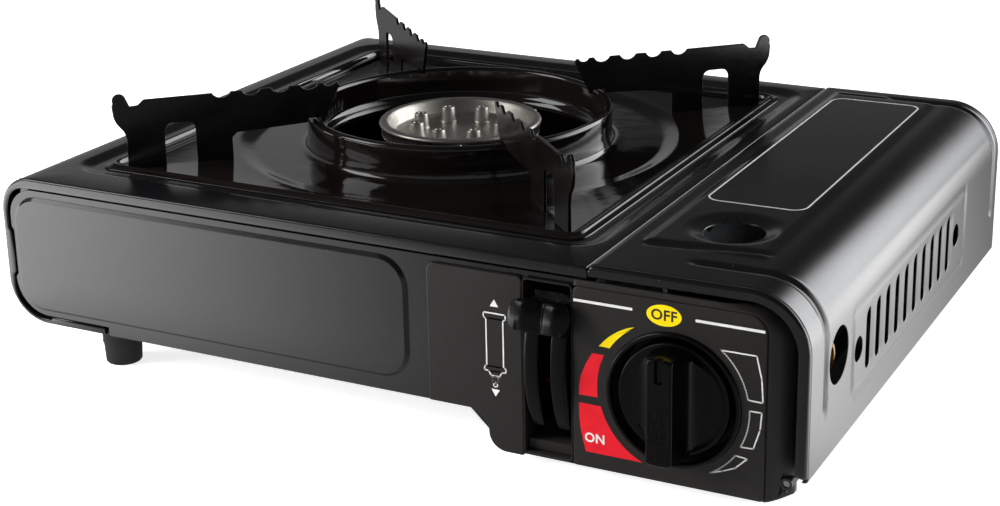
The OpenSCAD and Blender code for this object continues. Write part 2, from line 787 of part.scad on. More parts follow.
module inlet_nozzle() {
    color("#c9a04a") difference() {
        union() {
            rod_y(cart_x, cart_z, nozzle_r, governor_back + nest, governor_back + nozzle_l);
            rod_y(cart_x, cart_z, nozzle_r - 2, governor_back - 5, governor_back + 1);
        }
        rod_y(cart_x, cart_z, inlet_bore_r, governor_back + nozzle_l - 8, governor_back + nozzle_l + 1);
        rod_y(cart_x, cart_z, 1.2, governor_back - 6, governor_back + nozzle_l);
        difference() {
            rod_y(cart_x, cart_z, 6.6, governor_back + nozzle_l - 0.6, governor_back + nozzle_l + 1);
            rod_y(cart_x, cart_z, 4.9, governor_back, governor_back + nozzle_l + 2);
        }
    }
}

module inlet_seal() {
    color("#1c1c1c") difference() {
        rod_y(cart_x, cart_z, 6.5, governor_back + nozzle_l - 0.6, governor_back + nozzle_l + 0.5);
        rod_y(cart_x, cart_z, 5, governor_back, governor_back + nozzle_l + 2);
    }
}

module gas_jet() {
    color("#c9a04a") difference() {
        mixing_axis() translate([0, 0, tube_reach - 2]) {
            cylinder(r1 = 2, r2 = 3.6, h = 3);
            translate([0, 0, 3]) cylinder(r = 3.6, h = 3);
            translate([0, 0, 3]) cylinder(r = 2.5, h = 8);
        }
        mixing_axis() translate([0, 0, tube_reach - 4]) cylinder(r = 0.6, h = 20);
    }
}

module piezo_igniter() {
    x0 = x_knob - 30.6;
    color("#2a2a2c") {
        block([x0, y_front + 16, 54], [x0 + 11, y_front + 36, 66]);
        rod_y(x0 + 5.5, 60, 4.2, y_front + 10.6, y_front + 16);
        block([x0 + 11, y_front + 20, 55], [x_knob - 12, y_front + 32, 56.2]);
        block([x_knob - 13.2, y_front + 20, knob_z + 10.2], [x_knob - 12, y_front + 32, 56.2]);
    }
}

// A rail whose top is hollowed to the cartridge's round body
module cradle_rail(x0, x1) {
    color("#2f2f30") difference() {
        block([x0, y_front + 84, bay_top], [x1, y_back - 22, cart_z - 18]);
        rod_y(cart_x, cart_z, cartridge_r + 0.25, y_front + 80, y_back);
        block([x0 + 1.6, y_front + 82, bay_top - 1], [x1 - 1.6, y_back, bay_top + 3]);
    }
}

module cradle_rail_left() {
    cradle_rail(cart_x - 28, cart_x - 19);
}

module cradle_rail_right() {
    cradle_rail(cart_x + 19, cart_x + 26);
}

// ---------------------------------------------------------------- lever and pusher

// A point at radius r and angle a above the line from the pivot to the front, in Y and Z
function lever_point(r, a) = [pivot_y - r * cos(a), pivot_z + r * sin(a)];

// A ring sector about the lever's pivot, drawn in Y and Z
module lever_arc(r0, r1, a0, a1) {
    n = 12;
    function at(r, k) = lever_point(r, a0 + (a1 - a0) * k / n);
    intersection() {
        difference() {
            translate([pivot_y, pivot_z]) circle(r1, $fn = 128);
            translate([pivot_y, pivot_z]) circle(r0, $fn = 128);
        }
        polygon([[pivot_y, pivot_z], lever_point(r1 * 1.5, a0), lever_point(r1 * 1.5, a1)]);
    }
}

module lever_guide() {
    cheek = 1;
    inner = slot_left + 1;
    outer = slot_right - 1;
    color("#343231") difference() {
        union() {
            along_x(slot_left + 0.6, slot_w - 1.2) lever_arc(guide_r - 1.2, guide_r, -26, 26);
            for (x = [inner, outer - cheek]) along_x(x, cheek) {
                polygon([lever_point(guide_r - 0.6, -7), lever_point(guide_r - 0.6, 22),
                    [pivot_y, pivot_z + 6], [pivot_y, pivot_z - 6]]);
                translate([pivot_y, pivot_z]) circle(6);
            }
            // Tie between the cheeks, behind the lever's sweep, and its lug on the panel
            block([inner, pivot_y - 26, pivot_z - 5.4], [outer, pivot_y - 22, pivot_z - 4.2]);
        }
        along_x(x_lever - slit_w / 2, slit_w) lever_arc(guide_r - 3, guide_r + 1, -25, 25);
        block([x_lever - slit_w / 2, pivot_y - 30, pivot_z - 8], [x_lever + slit_w / 2, pivot_y - 20, pivot_z]);
        rod_x(pivot_y, pivot_z, 2.5 + pin_gap, slot_left - 5, slot_right + 5);
    }
}

module lever_pin() {
    color("#d0d0d0") {
        rod_x(pivot_y, pivot_z, 2.5, slot_left + 0.6, slot_right - 0.6);
        rod_x(pivot_y, pivot_z, 4, slot_left - 0.6, slot_left + 0.7);
    }
}

module lock_lever() {
    x0 = x_lever - lever_t / 2;
    tip = guide_r + grip_d;
    pin = [pivot_y + crank_r * sin(lever_up), pivot_z + crank_r * cos(lever_up)];
    color("#b9b9b7") difference() {
        union() {
            along_x(x0, lever_t) {
                translate([pivot_y, pivot_z]) circle(6);
                polygon([lever_point(tip, lever_up + 4), lever_point(tip, lever_up - 4),
                    [pivot_y, pivot_z - 5], [pivot_y, pivot_z + 6]]);
                difference() {
                    translate([(pivot_y + pin[0]) / 2, (pivot_z + pin[1]) / 2]) rotate(-lever_up)
                        square([9, crank_r], center = true);
                }
                translate(pin) circle(4.5);
            }
            rod_x(pin[0], pin[1], 2, x0, x0 + lever_t + 4.2);
        }
        rod_x(pivot_y, pivot_z, 2.5 + pin_gap, x0 - 1, x0 + lever_t + 1);
    }
}

// Moulded thumb piece, drawn square to the lever and then turned up with it
module lever_grip() {
    w = 24.2;
    h = 12.6;
    neck_w = slot_w - 1;
    lobe = guide_r + 3.5;
    color("#1d1c1c") translate([x_lever, pivot_y, pivot_z]) rotate([-lever_up, 0, 0]) difference() {
        union() {
            block([-neck_w / 2, -lobe - 0.5, -h / 2], [neck_w / 2, -guide_r - nest, h / 2]);
            // Swept thumb rest in two lobes, with a fold between them
            translate([0, 0, -h / 2]) linear_extrude(h) polygon([[-w / 2, -lobe], [-w / 2 + 0.4, -lobe - 1.4],
                [-w / 2 + 3.4, -lobe - 3.6], [-w / 2 + 7, -lobe - 4.4], [0.4, -lobe - 2.2], [2.2, -lobe - 2],
                [3.6, -lobe - 4], [w / 2 - 3, -lobe - 4.4], [w / 2 - 0.8, -lobe - 3], [w / 2, -lobe]]);
        }
        // Lower edge of the thumb rest is cut back to a curve
        translate([-w, -lobe - 5.4, -h / 2 - 1]) rotate([0, 90, 0]) cylinder(r = 3, h = 2 * w);
        // Socket for the lever's end
        translate([-lever_t / 2 - 0.05, -guide_r - grip_d - 1.2, -5]) cube([lever_t + 0.1, 20, 10]);
        translate([-w, 0, 0]) rotate([0, 90, 0]) cylinder(r = guide_r + nest, h = 2 * w, $fn = 128);
    }
}

module cartridge_pusher() {
    stem_x = x_lever + lever_t / 2 + 2.2;
    pin = [pivot_y + crank_r * sin(lever_up), pivot_z + crank_r * cos(lever_up)];
    stem = y_front + 68;
    color("#8f8f8d") difference() {
        union() {
            // Hook round the lever's crank pin and the stem that carries it
            along_x(stem_x, 1.2) {
                round_box(pin[0] - 6, pin[1] - 6, stem + 8, pin[1] + 7, 3, 0, 3, 3);
                round_box(stem, pusher_z, stem + 8, pin[1] + 2);
            }
            // Arm through the partition and the strip under the cartridge
            block([stem_x, stem - 2, pusher_z], [cart_x + 8, stem + 10, pusher_z + pusher_t]);
            block([cart_x - 8, stem - 2, pusher_z], [cart_x + 8, pusher_y + 4, pusher_z + pusher_t]);
            // Upright that bears on the cartridge's base
            along_y(pusher_y + 2.8, 1.2) difference() {
                round_box(cart_x - 17, pusher_z, cart_x + 17, cart_z + 8, 0, 0, 14, 14);
                translate([cart_x, cart_z - 4]) circle(7);
            }
            for (s = [-1, 1]) block([cart_x + s * 16.4 - 0.6, pusher_y + 2.8, pusher_z],
                [cart_x + s * 16.4 + 0.6, pusher_y + 9, cart_z - 14]);
        }
        along_x(stem_x - 1, 4) round_slot(pin[0], pin[1], 4.6, 10);
    }
}

module pusher_pad() {
    color("#1c1c1c") difference() {
        rod_y(cart_x, cart_z - 4, 11, pusher_y + 0.6, pusher_y + 2.5);
        rod_y(cart_x, cart_z - 4, 6, pusher_y, pusher_y + 4);
    }
}

// ---------------------------------------------------------------- knob

module knob_bezel() {
    color("#1f1e1e") difference() {
        rod_y(x_knob, knob_z, well_r + 2.2, y_front + plate_out - 1.3, y_front + plate_out);
        rod_y(x_knob, knob_z, well_r, y_front - 10, y_front + 10);
    }
}

module knob() {
    face = y_front - 1.4;
    color("#1d1c1c") difference() {
        union() {
            rod_y(x_knob, knob_z, knob_r, face + 1, y_front + 6.6);
            rod_y(x_knob, knob_z, knob_r - 1, face, y_front + 1);
            // Grip that flares into the disc
            intersection() {
                along_z(knob_z - knob_r, 2 * knob_r) translate([x_knob, 0]) difference() {
                    translate([-grip_w / 2 - 7, y_front - knob_reach])
                        square([grip_w + 14, knob_reach]);
                    for (s = [-1, 1]) translate([s * (grip_w / 2 + 7), 0]) {
                        translate([0, face - 7]) circle(7);
                        translate([-7, y_front - knob_reach - 1])
                            square([14, knob_reach - 7.4]);
                    }
                }
                rod_y(x_knob, knob_z, knob_r - 1, y_front - 30, y_front + 5);
            }
            rod_y(x_knob, knob_z, spindle_r + 3, y_front, y_front + 8);
        }
        rod_y(x_knob, knob_z, spindle_r, y_front + 1, y_front + 12);
        difference() {
            rod_y(x_knob, knob_z, knob_r - 2, y_front + 2, y_front + 12);
            rod_y(x_knob, knob_z, spindle_r + 3, y_front, y_front + 14);
        }
        // Pointer groove down the front of the grip
        block([x_knob - 0.8, y_front - knob_reach - 1, knob_z + 11],
            [x_knob + 0.8, y_front - knob_reach + 1, knob_z + knob_r]);
    }
}

module valve_spindle() {
    color("#c9a04a") {
        rod_y(x_knob, knob_z, spindle_r, y_front + 1.2, governor_front + 13.5);
    }
}

// ---------------------------------------------------------------- lid

module lid() {
    cuts = hinge_cuts();
    top_x0 = x_seam + 8;
    top_x1 = x_right - 27.6;
    sight_y = y_front + 55;
    sight_z = cover_z + lid_crown * (cart_x - 2 - x_seam) / (x_right - lid_r - x_seam) + 0.5;
    louvre_y = y_front + 69.5;
    louvre_z = 42.5;
    color("#2b2b2c") difference() {
        union() {
            along_y(y_front, body_d) difference() {
                lid_section(0);
                lid_section(sheet);
                translate([x_seam, 0]) square([x_right - x_seam - lid_r, cover_z - 2]);
            }
            // Fold along the seam
            block([x_seam + seam_gap, y_front, cover_z - 4.2], [x_seam + seam_gap + sheet, y_back, cover_z]);
            // Flanges that frame the front and the back
            for (y = [y_front, y_back - sheet]) along_y(y, sheet) difference() {
                lid_section(0);
                lid_section(flange_top);
            }
            // Raised field on the top, and ribs near the front and back
            intersection() {
                along_y(y_front, body_d) difference() {
                    lid_section(-0.5);
                    lid_section(sheet / 2);
                }
                along_z(cover_z - 10, 20) {
                    round_box(top_x0, y_front + 29.5, top_x1, y_back - 10, 6, 6, 6, 6);
                    round_box(x_right - 46, y_front + 17.5, x_right - 26, y_front + 20, 1.2, 1.2, 1.2, 1.2);
                }
            }
            // Leaf and knuckles of the hinge
            block([hinge_x + knuckle_r + 0.4, y_front, lid_hem_z - sheet], [x_right, y_back, lid_hem_z]);
            for (k = [1:2:3]) {
                rod_y(hinge_x, hinge_z, knuckle_r, cuts[k] + 0.4, cuts[k + 1] - 0.4);
                block([hinge_x, cuts[k] + 0.4, lid_hem_z - sheet],
                    [hinge_x + 4, cuts[k + 1] - 0.4, lid_hem_z]);
            }
            block([x_right - sheet, y_front, lid_hem_z - sheet], [x_right, y_back, lid_hem_z + 1]);
            // Dished ring round the sight hole
            translate([cart_x - 2, sight_y, sight_z]) rotate_extrude() polygon([[sight_r - 1, -2.4],
                [sight_r + 1, -2.2], [sight_r + 5.2, -1.2], [sight_r + 5.2, -0.5], [sight_r - 1, -0.5]]);
            // Blades of the louvres, bent in from the back edge of each slot
            for (k = [0:louvre_n - 1])
                translate([x_right, louvre_y + k * louvre_pitch + louvre_w / 2, louvre_z - louvre_h / 2 + 3])
                    linear_extrude(louvre_h - 6) polygon([[-0.3, 1.4], [-0.3, 0.4], [-1.3, 0.1],
                        [-3.4, -3.2], [-3.9, -2.9], [-1.6, 0.9], [-0.9, 1.4]]);
        }
        // Grooves that stiffen the side near both ends
        for (y = [y_front + 10.5, y_back - 13])
            block([x_right - sheet / 2, y, 33], [x_right + 1, y + 2.5, 58]);
        rod_y(hinge_x, hinge_z, rod_r + pin_gap, y_front, y_back);
        translate([cart_x - 2, sight_y, 0]) cylinder(r = sight_r, h = big);
        translate([cart_x - 2, sight_y, sight_z - 1.7]) cylinder(r1 = sight_r - 0.5, r2 = sight_r + 4.3, h = 2);
        rod_x(y_front + 32.5, plug_z + 4.8, plug_hole_r, x_right - 5, x_right + 5);
        // Louvres, with a round hole at each end of the row
        for (k = [0:louvre_n - 1]) along_x(x_right - sheet - 0.3, 5)
            round_slot(louvre_y + k * louvre_pitch, louvre_z, louvre_w, louvre_h);
        for (k = [-1, louvre_n]) rod_x(louvre_y + k * louvre_pitch, louvre_z, 4.2, x_right - 5, x_right + 5);
    }
}

module hinge_rod() {
    color("#c4c4c2") rod_y(hinge_x, hinge_z, rod_r, y_front + 2.5, y_back - 2.5);
}

// ---------------------------------------------------------------- drip pan and pot arms

module drip_pan() {
    rim = pan_w / 2;
    color("#26211e") {
        // Rim with its bead, and the flat corners round the dish
        along_z(ledge_z + 0.05, pan_t) difference() {
            centred_box(hob_x, hob_y, pan_w, pan_w, pan_corner_r);
            centred_box(hob_x, hob_y, pan_w - 17.2, pan_w - 17.2, 6);
        }
        along_z(ledge_z + 0.05, pan_t + 1.1) difference() {
            centred_box(hob_x, hob_y, pan_w - 3, pan_w - 3, pan_corner_r - 1.5);
            centred_box(hob_x, hob_y, pan_w - 9, pan_w - 9, pan_corner_r - 4.5);
        }
        along_z(corner_z - pan_t, pan_rim_z + 0.05 - corner_z + pan_t) difference() {
            centred_box(hob_x, hob_y, pan_w - 16.6, pan_w - 16.6, 7.7);
            centred_box(hob_x, hob_y, pan_w - 18.2, pan_w - 18.2, 6.9);
        }
        along_z(corner_z - pan_t, pan_t) difference() {
            centred_box(hob_x, hob_y, pan_w - 17, pan_w - 17, 7.5);
            translate([hob_x, hob_y]) circle(dish_r - 1, $fn = 128);
        }
        // Dish, collar and opening
        translate([hob_x, hob_y, 0]) rotate_extrude($fn = 128) polygon([[dish_r, corner_z],
            [dish_r - 1.5, corner_z], [dish_r - 9, dish_z], [collar_r + 1.6, dish_z],
            [collar_r + 0.4, dish_z + 1.2], [collar_r, collar_z - 2.2], [collar_r - 0.6, collar_z - 0.6],
            [collar_r - 1.8, collar_z], [collar_r - 3, collar_z - 0.6], [collar_r - 3.6, collar_z - 2.2],
            [collar_r - 3.9, dish_z + 3.2], [pan_hole_r + 0.6, dish_z + 1.2],
            [pan_hole_r, dish_z + 0.4], [pan_hole_r, dish_z - 1.2], [pan_hole_r + pan_t, dish_z - 1.2],
            [pan_hole_r + pan_t, dish_z + 0.3], [collar_r - 3.1, dish_z + 2.4],
            [collar_r - 2.8, collar_z - 2.2], [collar_r - 1.8, collar_z - 1],
            [collar_r - 0.8, collar_z - 2.2], [collar_r - 0.5, dish_z + 0.8],
            [collar_r + 1.2, dish_z - pan_t], [dish_r - 8.8, dish_z - pan_t],
            [dish_r - 1.5, corner_z - pan_t], [dish_r, corner_z - pan_t]]);
    }
}

// Outline of a pot arm: distance from the burner's axis, and height
module arm_outline() {
    top = pot_z;
    sit = collar_z + 0.3;
    back = collar_z - 1.3;
    window = pot_z - 10.8;
    horn = [for (a = [160:-20:-20]) [143.3 + 2.8 * cos(a), pot_z + 0.4 + 2.8 * sin(a)]];
    difference() {
        polygon(concat([[52.4, top - 1.3], [53, top - 0.3], [54, top],
            [133.5, pot_z], [136, pot_z - 2.2], [139.2, pot_z - 2.4]], horn,
            [[146.4, pot_z - 2], [146, pot_z - 6.4], [143.6, pot_z - 9.6], [139.6, pot_z - 12.2],
            [137.8, pot_z - 16], [137.8, corner_z + nest], [98.5, corner_z + nest],
            [98.5, back - 3.4], [96.5, back - 1.4], [collar_r + 2.4, back - 0.2], [collar_r + 1, back - 0.2],
            [collar_r + 1, sit], [collar_r - 4.4, sit], [collar_r - 5, back], [59.4, back]]));
        // Scallops along the top
        for (k = [0:scallop_n - 1]) translate([101.9 - k * scallop_pitch, top - scallop_h + 4.3]) circle(4.3);
        translate([56.8, top + 1.2]) circle(2.8);
        // Window between the two legs
        difference() {
            translate([113.3, corner_z - 5]) square([12.7, window - corner_z + 5]);
            corner_cut(113.3, window, 3.5, 1, -1);
            corner_cut(126, window, 3.5, -1, -1);
        }
    }
}

module pot_arm(angle) {
    color("#241f1c") translate([hob_x, hob_y, 0]) rotate([90, 0, angle])
        translate([0, 0, -arm_t / 2]) linear_extrude(arm_t) arm_outline();
}

module pot_arm_front_left() {
    pot_arm(225);
}

module pot_arm_front_right() {
    pot_arm(315);
}

module pot_arm_back_right() {
    pot_arm(45);
}

module pot_arm_back_left() {
    pot_arm(135);
}

// ---------------------------------------------------------------- feet and screws

// Centre of each foot and the height of the floor over it
function foot_places() = [[x_left + 41, y_front + foot_in, burner_floor_z],
    [x_left + 41, y_back - foot_in, burner_floor_z], [x_right - 26, y_front + foot_in, bay_floor_z],
    [x_right - 26, y_back - foot_in, bay_floor_z]];

module foot(k) {
    p = foot_places()[k];
    color("#191919") translate([p[0], p[1], 0]) difference() {
        rotate_extrude() polygon([[0, 0], [foot_r - 2.2, 0], [foot_r - 1.4, 0.8],
            [foot_r, max(p[2] - 2, 1.6)], [foot_r, p[2]], [0, p[2]]]);
        translate([0, 0, -1]) cylinder(r = 4.2, h = p[2] - 0.4);
        cylinder(r = 1.9, h = 40);
    }
}

module foot_front_left() {
    foot(0);
}

module foot_back_left() {
    foot(1);
}

module foot_front_right() {
    foot(2);
}

module foot_back_right() {
    foot(3);
}

module foot_screws() {
    color("#c0c0c0") for (p = foot_places()) translate([p[0], p[1], p[2]]) mirror([0, 0, 1])
        screw_down(0, 0, 1.4, 1.75, 3.2, 4.6);
}

// Screws that hold the regulator's bracket, the guide plate and the burner's bracket
function tray_screw_places() = [[x_knob, governor_front + 7, bay_floor_z],
    [cart_x, guide_y - 5, bay_floor_z]];

module tray_screws() {
    color("#c0c0c0") for (p = tray_screw_places())
        screw_down(p[0], p[1], bay_top + 1.2, 1.5, 3, 4);
}

// ---------------------------------------------------------------- the nodes

base_tray();
front_panel();
top_cover();
bay_partition();
heat_plate();
cradle_rail_left();
cradle_rail_right();
burner_base();
burner_head();
burner_bracket();
burner_screws();
mixing_tube();
gas_governor();
governor_cover();
governor_plug();
governor_screws();
governor_bracket();
guide_plate();
inlet_nozzle();
inlet_seal();
gas_jet();
piezo_igniter();
igniter_wire();
spark_electrode();
electrode_insulator();
electrode_bracket();
lever_guide();
lever_pin();
knob_bezel();
hinge_rod();
foot_front_left();
foot_back_left();
foot_front_right();
foot_back_right();
foot_screws();
tray_screws();
lid();
knob();
valve_spindle();
lock_lever();
lever_grip();
cartridge_pusher();
pusher_pad();
drip_pan();
pot_arm_front_left();
pot_arm_front_right();
pot_arm_back_right();
pot_arm_back_left();
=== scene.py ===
"""Looks of the butane cassette stove: sheet metal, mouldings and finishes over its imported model.

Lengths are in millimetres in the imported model's frame: +X to the right as the user stands, -Y
towards the user and +Z up from the table. put() turns them into metres.
"""

import json
import logging
import math
from dataclasses import dataclass, field
from enum import Enum

import bmesh
import bpy
import numpy as np
from mathutils import Matrix, Vector


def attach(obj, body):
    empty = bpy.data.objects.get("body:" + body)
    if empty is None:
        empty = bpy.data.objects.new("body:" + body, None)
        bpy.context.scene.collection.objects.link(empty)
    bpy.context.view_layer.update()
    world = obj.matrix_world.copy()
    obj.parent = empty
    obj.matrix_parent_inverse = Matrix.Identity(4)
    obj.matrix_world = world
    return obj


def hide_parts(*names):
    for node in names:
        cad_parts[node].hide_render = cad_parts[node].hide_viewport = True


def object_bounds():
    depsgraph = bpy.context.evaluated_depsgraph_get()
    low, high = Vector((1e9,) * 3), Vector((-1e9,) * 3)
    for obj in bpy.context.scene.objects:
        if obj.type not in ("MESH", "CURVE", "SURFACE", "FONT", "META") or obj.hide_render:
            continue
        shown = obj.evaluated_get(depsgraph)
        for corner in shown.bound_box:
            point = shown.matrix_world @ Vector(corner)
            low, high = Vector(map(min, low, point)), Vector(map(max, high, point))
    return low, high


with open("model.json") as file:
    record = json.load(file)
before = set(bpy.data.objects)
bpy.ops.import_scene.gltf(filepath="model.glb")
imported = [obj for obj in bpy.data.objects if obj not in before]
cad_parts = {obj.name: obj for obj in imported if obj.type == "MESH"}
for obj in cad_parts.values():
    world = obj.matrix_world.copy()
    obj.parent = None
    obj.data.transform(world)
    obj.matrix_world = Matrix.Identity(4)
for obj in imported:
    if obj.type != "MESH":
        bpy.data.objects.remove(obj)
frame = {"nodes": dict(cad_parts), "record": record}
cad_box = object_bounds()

MM = 0.001
log = logging.getLogger("stove")


# ------------------------------------------------------------------ lines and surfaces


@dataclass
class Shell:
    """Points, faces of four corners (a triangle repeats its last) and caps of many corners."""

    points: np.ndarray
    quads: np.ndarray
    caps: list[list[int]] = field(default_factory=list)


def pts(*columns: np.ndarray | float) -> np.ndarray:
    """Points from their coordinates, one argument for each axis, spread to a common shape."""
    return np.stack(np.broadcast_arrays(*columns), axis=-1)


def unit(ways: np.ndarray) -> np.ndarray:
    """Each row's direction, with length 1."""
    return ways / np.maximum(np.linalg.norm(ways, axis=1), 1e-9)[:, None]


def lengths(line: np.ndarray) -> np.ndarray:
    """Length along a line up to each of its points."""
    return np.concatenate([[0], np.cumsum(np.linalg.norm(np.diff(line, axis=0), axis=1))])


def soft(x: np.ndarray, a: float, b: float) -> np.ndarray:
    """0 below a, 1 above b and a smooth cubic step between them; with a above b it falls."""
    t = np.clip((x - a) / (b - a), 0, 1)
    return t * t * (3 - 2 * t)


def grid(points: np.ndarray, wrap: bool = False, flip: bool = False) -> Shell:
    """Quads over a grid of points: face (i, j) joins rows i, i + 1 and columns j, j + 1.

    Args:
        points: array of rows, columns and three coordinates.
        wrap: joins the last column to the first.
        flip: turns the faces round. Unflipped, they face along column x row direction.

    Returns:
        The shell.
    """
    rows, cols = points.shape[:2]
    ids = np.arange(rows * cols).reshape(rows, cols)
    if wrap:
        ids = np.concatenate([ids, ids[:, :1]], axis=1)
    quads = np.stack([ids[:-1, :-1], ids[:-1, 1:], ids[1:, 1:], ids[1:, :-1]], axis=-1)
    quads = quads.reshape(-1, 4)
    return Shell(points.reshape(-1, 3), quads[:, ::-1] if flip else quads)


def capped(shell: Shell, ids: np.ndarray, flip: bool = False) -> Shell:
    """The shell with one more flat face, over the points that ids names in order."""
    loop = ids.tolist()
    return Shell(shell.points, shell.quads, shell.caps + [loop[::-1] if flip else loop])


def ended(shell: Shell, n: int, flip: bool = False) -> Shell:
    """A shell of rings of n points, closed by a cap on its first ring and one on its last."""
    shell = capped(shell, np.arange(n), flip=not flip)
    return capped(shell, np.arange(n) + len(shell.points) - n, flip=flip)


def join(*shells: Shell) -> Shell:
    """One shell of several.

    Args:
        shells: the shells.

    Returns:
        Their points and faces in order, with the faces renumbered.
    """
    starts = np.cumsum([0] + [len(s.points) for s in shells])
    caps = [[i + int(k) for i in cap] for s, k in zip(shells, starts) for cap in s.caps]
    quads = np.concatenate([s.quads + k for s, k in zip(shells, starts)])
    return Shell(np.concatenate([s.points for s in shells]), quads, caps)


def placed(shell: Shell, x_axis: tuple, y_axis: tuple, z_axis: tuple, at: tuple) -> Shell:
    """The shell with its own axes laid along three directions and its origin at a point."""
    turn = np.array([x_axis, y_axis, z_axis], float)
    return Shell(shell.points @ turn + np.array(at, float), shell.quads, shell.caps)


def moved(shell: Shell, at: tuple[float, float, float]) -> Shell:
    """The shell with its origin put at a point."""
    return Shell(shell.points + np.array(at), shell.quads, shell.caps)


def to_front(shell: Shell, y: float) -> Shell:
    """A shell drawn in X and Z, with heights towards the user, stood up at depth y."""
    p = shell.points
    return Shell(pts(p[:, 0], y - p[:, 2], p[:, 1]), shell.quads, shell.caps)


def fillet(corners: list[tuple[float, float, float]], closed: bool = False,
           step: float = 0.5) -> np.ndarray:
    """A flat line through corners, each rounded with an arc tangent to both of its sides.

    Args:
        corners: first coordinate, second coordinate and radius of each corner.
        closed: joins the last corner to the first.
        step: longest chord of an arc.

    Returns:
        Array of points, two coordinates each.
    """
    data = np.array(corners, float)
    count = len(data)
    line: list[np.ndarray] = []
    for i in range(count):
        here, radius = data[i, :2], data[i, 2]
        if radius <= 0 or (not closed and i in (0, count - 1)):
            line.append(here[None])
            continue
        back = data[i - 1, :2] - here
        ahead = data[(i + 1) % count, :2] - here
        back, ahead = back / np.linalg.norm(back), ahead / np.linalg.norm(ahead)
        half = math.acos(float(np.clip(back @ ahead, -1, 1))) / 2
        both = back + ahead
        middle = here + both / np.linalg.norm(both) * radius / math.sin(half)
        start = here + back * radius / math.tan(half) - middle
        end = here + ahead * radius / math.tan(half) - middle
        sweep = math.pi - 2 * half
        turn = math.copysign(sweep, start[0] * end[1] - start[1] * end[0])
        a = np.linspace(0, turn, max(3, int(radius * sweep / step) + 2))
        line.append(middle + pts(start[0] * np.cos(a) - start[1] * np.sin(a),
                                 start[0] * np.sin(a) + start[1] * np.cos(a)))
    return np.concatenate(line)


def rect(x0: float, z0: float, x1: float, z1: float, r: float = 0.0,
         step: float = 0.3) -> np.ndarray:
    """A rectangle with corners of radius r, anticlockwise from its lower left."""
    return fillet([(x0, z0, r), (x1, z0, r), (x1, z1, r), (x0, z1, r)], True, step)


def arc(x: float, y: float, r: float, a0: float, a1: float, n: int = 12) -> np.ndarray:
    """Points on a circle from angle a0 to a1 in degrees: x + r cos a, y + r sin a."""
    a = np.radians(np.linspace(a0, a1, n))
    return pts(x + r * np.cos(a), y + r * np.sin(a))


def resampled(line: np.ndarray, n: int) -> np.ndarray:
    """A line's points moved to n equal steps of its length.

    Args:
        line: the line's points.
        n: how many points it gets.

    Returns:
        The new points.
    """
    run = lengths(line)
    at = np.linspace(0, run[-1], n)
    return pts(*(np.interp(at, run, column) for column in line.T))


def filled(loop: np.ndarray, step: float) -> np.ndarray:
    """A closed line with points added where a side is long, and its corners kept.

    Args:
        loop: the line's corners.
        step: the longest side that stays whole, about.

    Returns:
        The new points.
    """
    parts = []
    for a, b in zip(loop, np.roll(loop, -1, axis=0)):
        n = max(1, int(np.linalg.norm(b - a) / step))
        parts.append(a + (b - a) * (np.arange(n) / n)[:, None])
    return np.concatenate(parts)


def inset(loop: np.ndarray, depth: float) -> np.ndarray:
    """A closed line moved inwards: each corner goes along the mean of its sides' normals, by
    depth over the cosine of half the turn, and by no more than twice the depth.

    Args:
        loop: an anticlockwise line.
        depth: how far it moves; below 0 it moves outwards.

    Returns:
        The moved points.
    """
    side = unit(np.roll(loop, -1, axis=0) - loop)
    normal = pts(-side[:, 1], side[:, 0])
    mean = normal + np.roll(normal, 1, axis=0)
    size = np.maximum(np.linalg.norm(mean, axis=1), 1e-6)[:, None]
    return loop + mean / size * depth * np.minimum(2 / size, 2)


def border(u: np.ndarray, v: np.ndarray) -> np.ndarray:
    """The edge of a grid of u by v, once round it: up u, up v, down u and down v."""
    sides = pts(u, v[0]), pts(u[-1], v), pts(u[::-1], v[-1]), pts(u[0], v[::-1])
    return np.concatenate([side[:-1] for side in sides])


def ray(angle: np.ndarray, half: float, r: float) -> np.ndarray:
    """Distance from a rounded square's middle to its edge: the nearer of two straight sides,
    or, where that point falls in a corner, the far crossing with the corner's circle.

    Args:
        angle: the directions, in radians.
        half: half the square's side.
        r: radius of its corners.

    Returns:
        The distance in each direction.
    """
    c, s = np.abs(np.cos(angle)), np.abs(np.sin(angle))
    flat = np.minimum(half / np.maximum(c, 1e-9), half / np.maximum(s, 1e-9))
    mid = half - r
    corner = (flat * c > mid) & (flat * s > mid)
    along = mid * c + mid * s
    root = np.sqrt(np.maximum(along ** 2 - (mid ** 2 + mid ** 2 - r ** 2), 0))
    return np.where(corner, along + root, flat)


def revolve(profile: np.ndarray, n: int = 128) -> np.ndarray:
    """Grid of a profile of radius and height turned round +Z: (r cos t, r sin t, h)."""
    t = np.linspace(0, 2 * np.pi, n, endpoint=False)
    return pts(profile[:, :1] * np.cos(t), profile[:, :1] * np.sin(t), profile[:, 1:])


def lathe(profile: np.ndarray, n: int) -> Shell:
    """Closed shell of a profile turned round +Z, its ends joined to the axis."""
    line = np.concatenate([profile[:1] * [0, 1], profile, profile[-1:] * [0, 1]])
    return grid(revolve(line, n), wrap=True)


def plate(loop: np.ndarray, rows: list[tuple[float, float]], back: bool = True) -> Shell:
    """A flat plate with a shaped edge, closed by a narrow level row and a flat cap.

    Args:
        loop: anticlockwise outline.
        rows: row k of the edge is the outline moved inwards by rows[k][0] at height rows[k][1].
        back: closes the plate's back too.

    Returns:
        The shell.
    """
    rim_w, n = 0.08, len(loop)
    (first, low), (last, high) = rows[0], rows[-1]
    rows = ([(first + rim_w, low)] if back else []) + rows + [(last + rim_w, high)]
    shell = grid(np.stack([pts(*inset(loop, d).T, h) for d, h in rows]), wrap=True)
    shell = capped(shell, np.arange(n) + n * (len(rows) - 1))
    return capped(shell, np.arange(n), flip=True) if back else shell


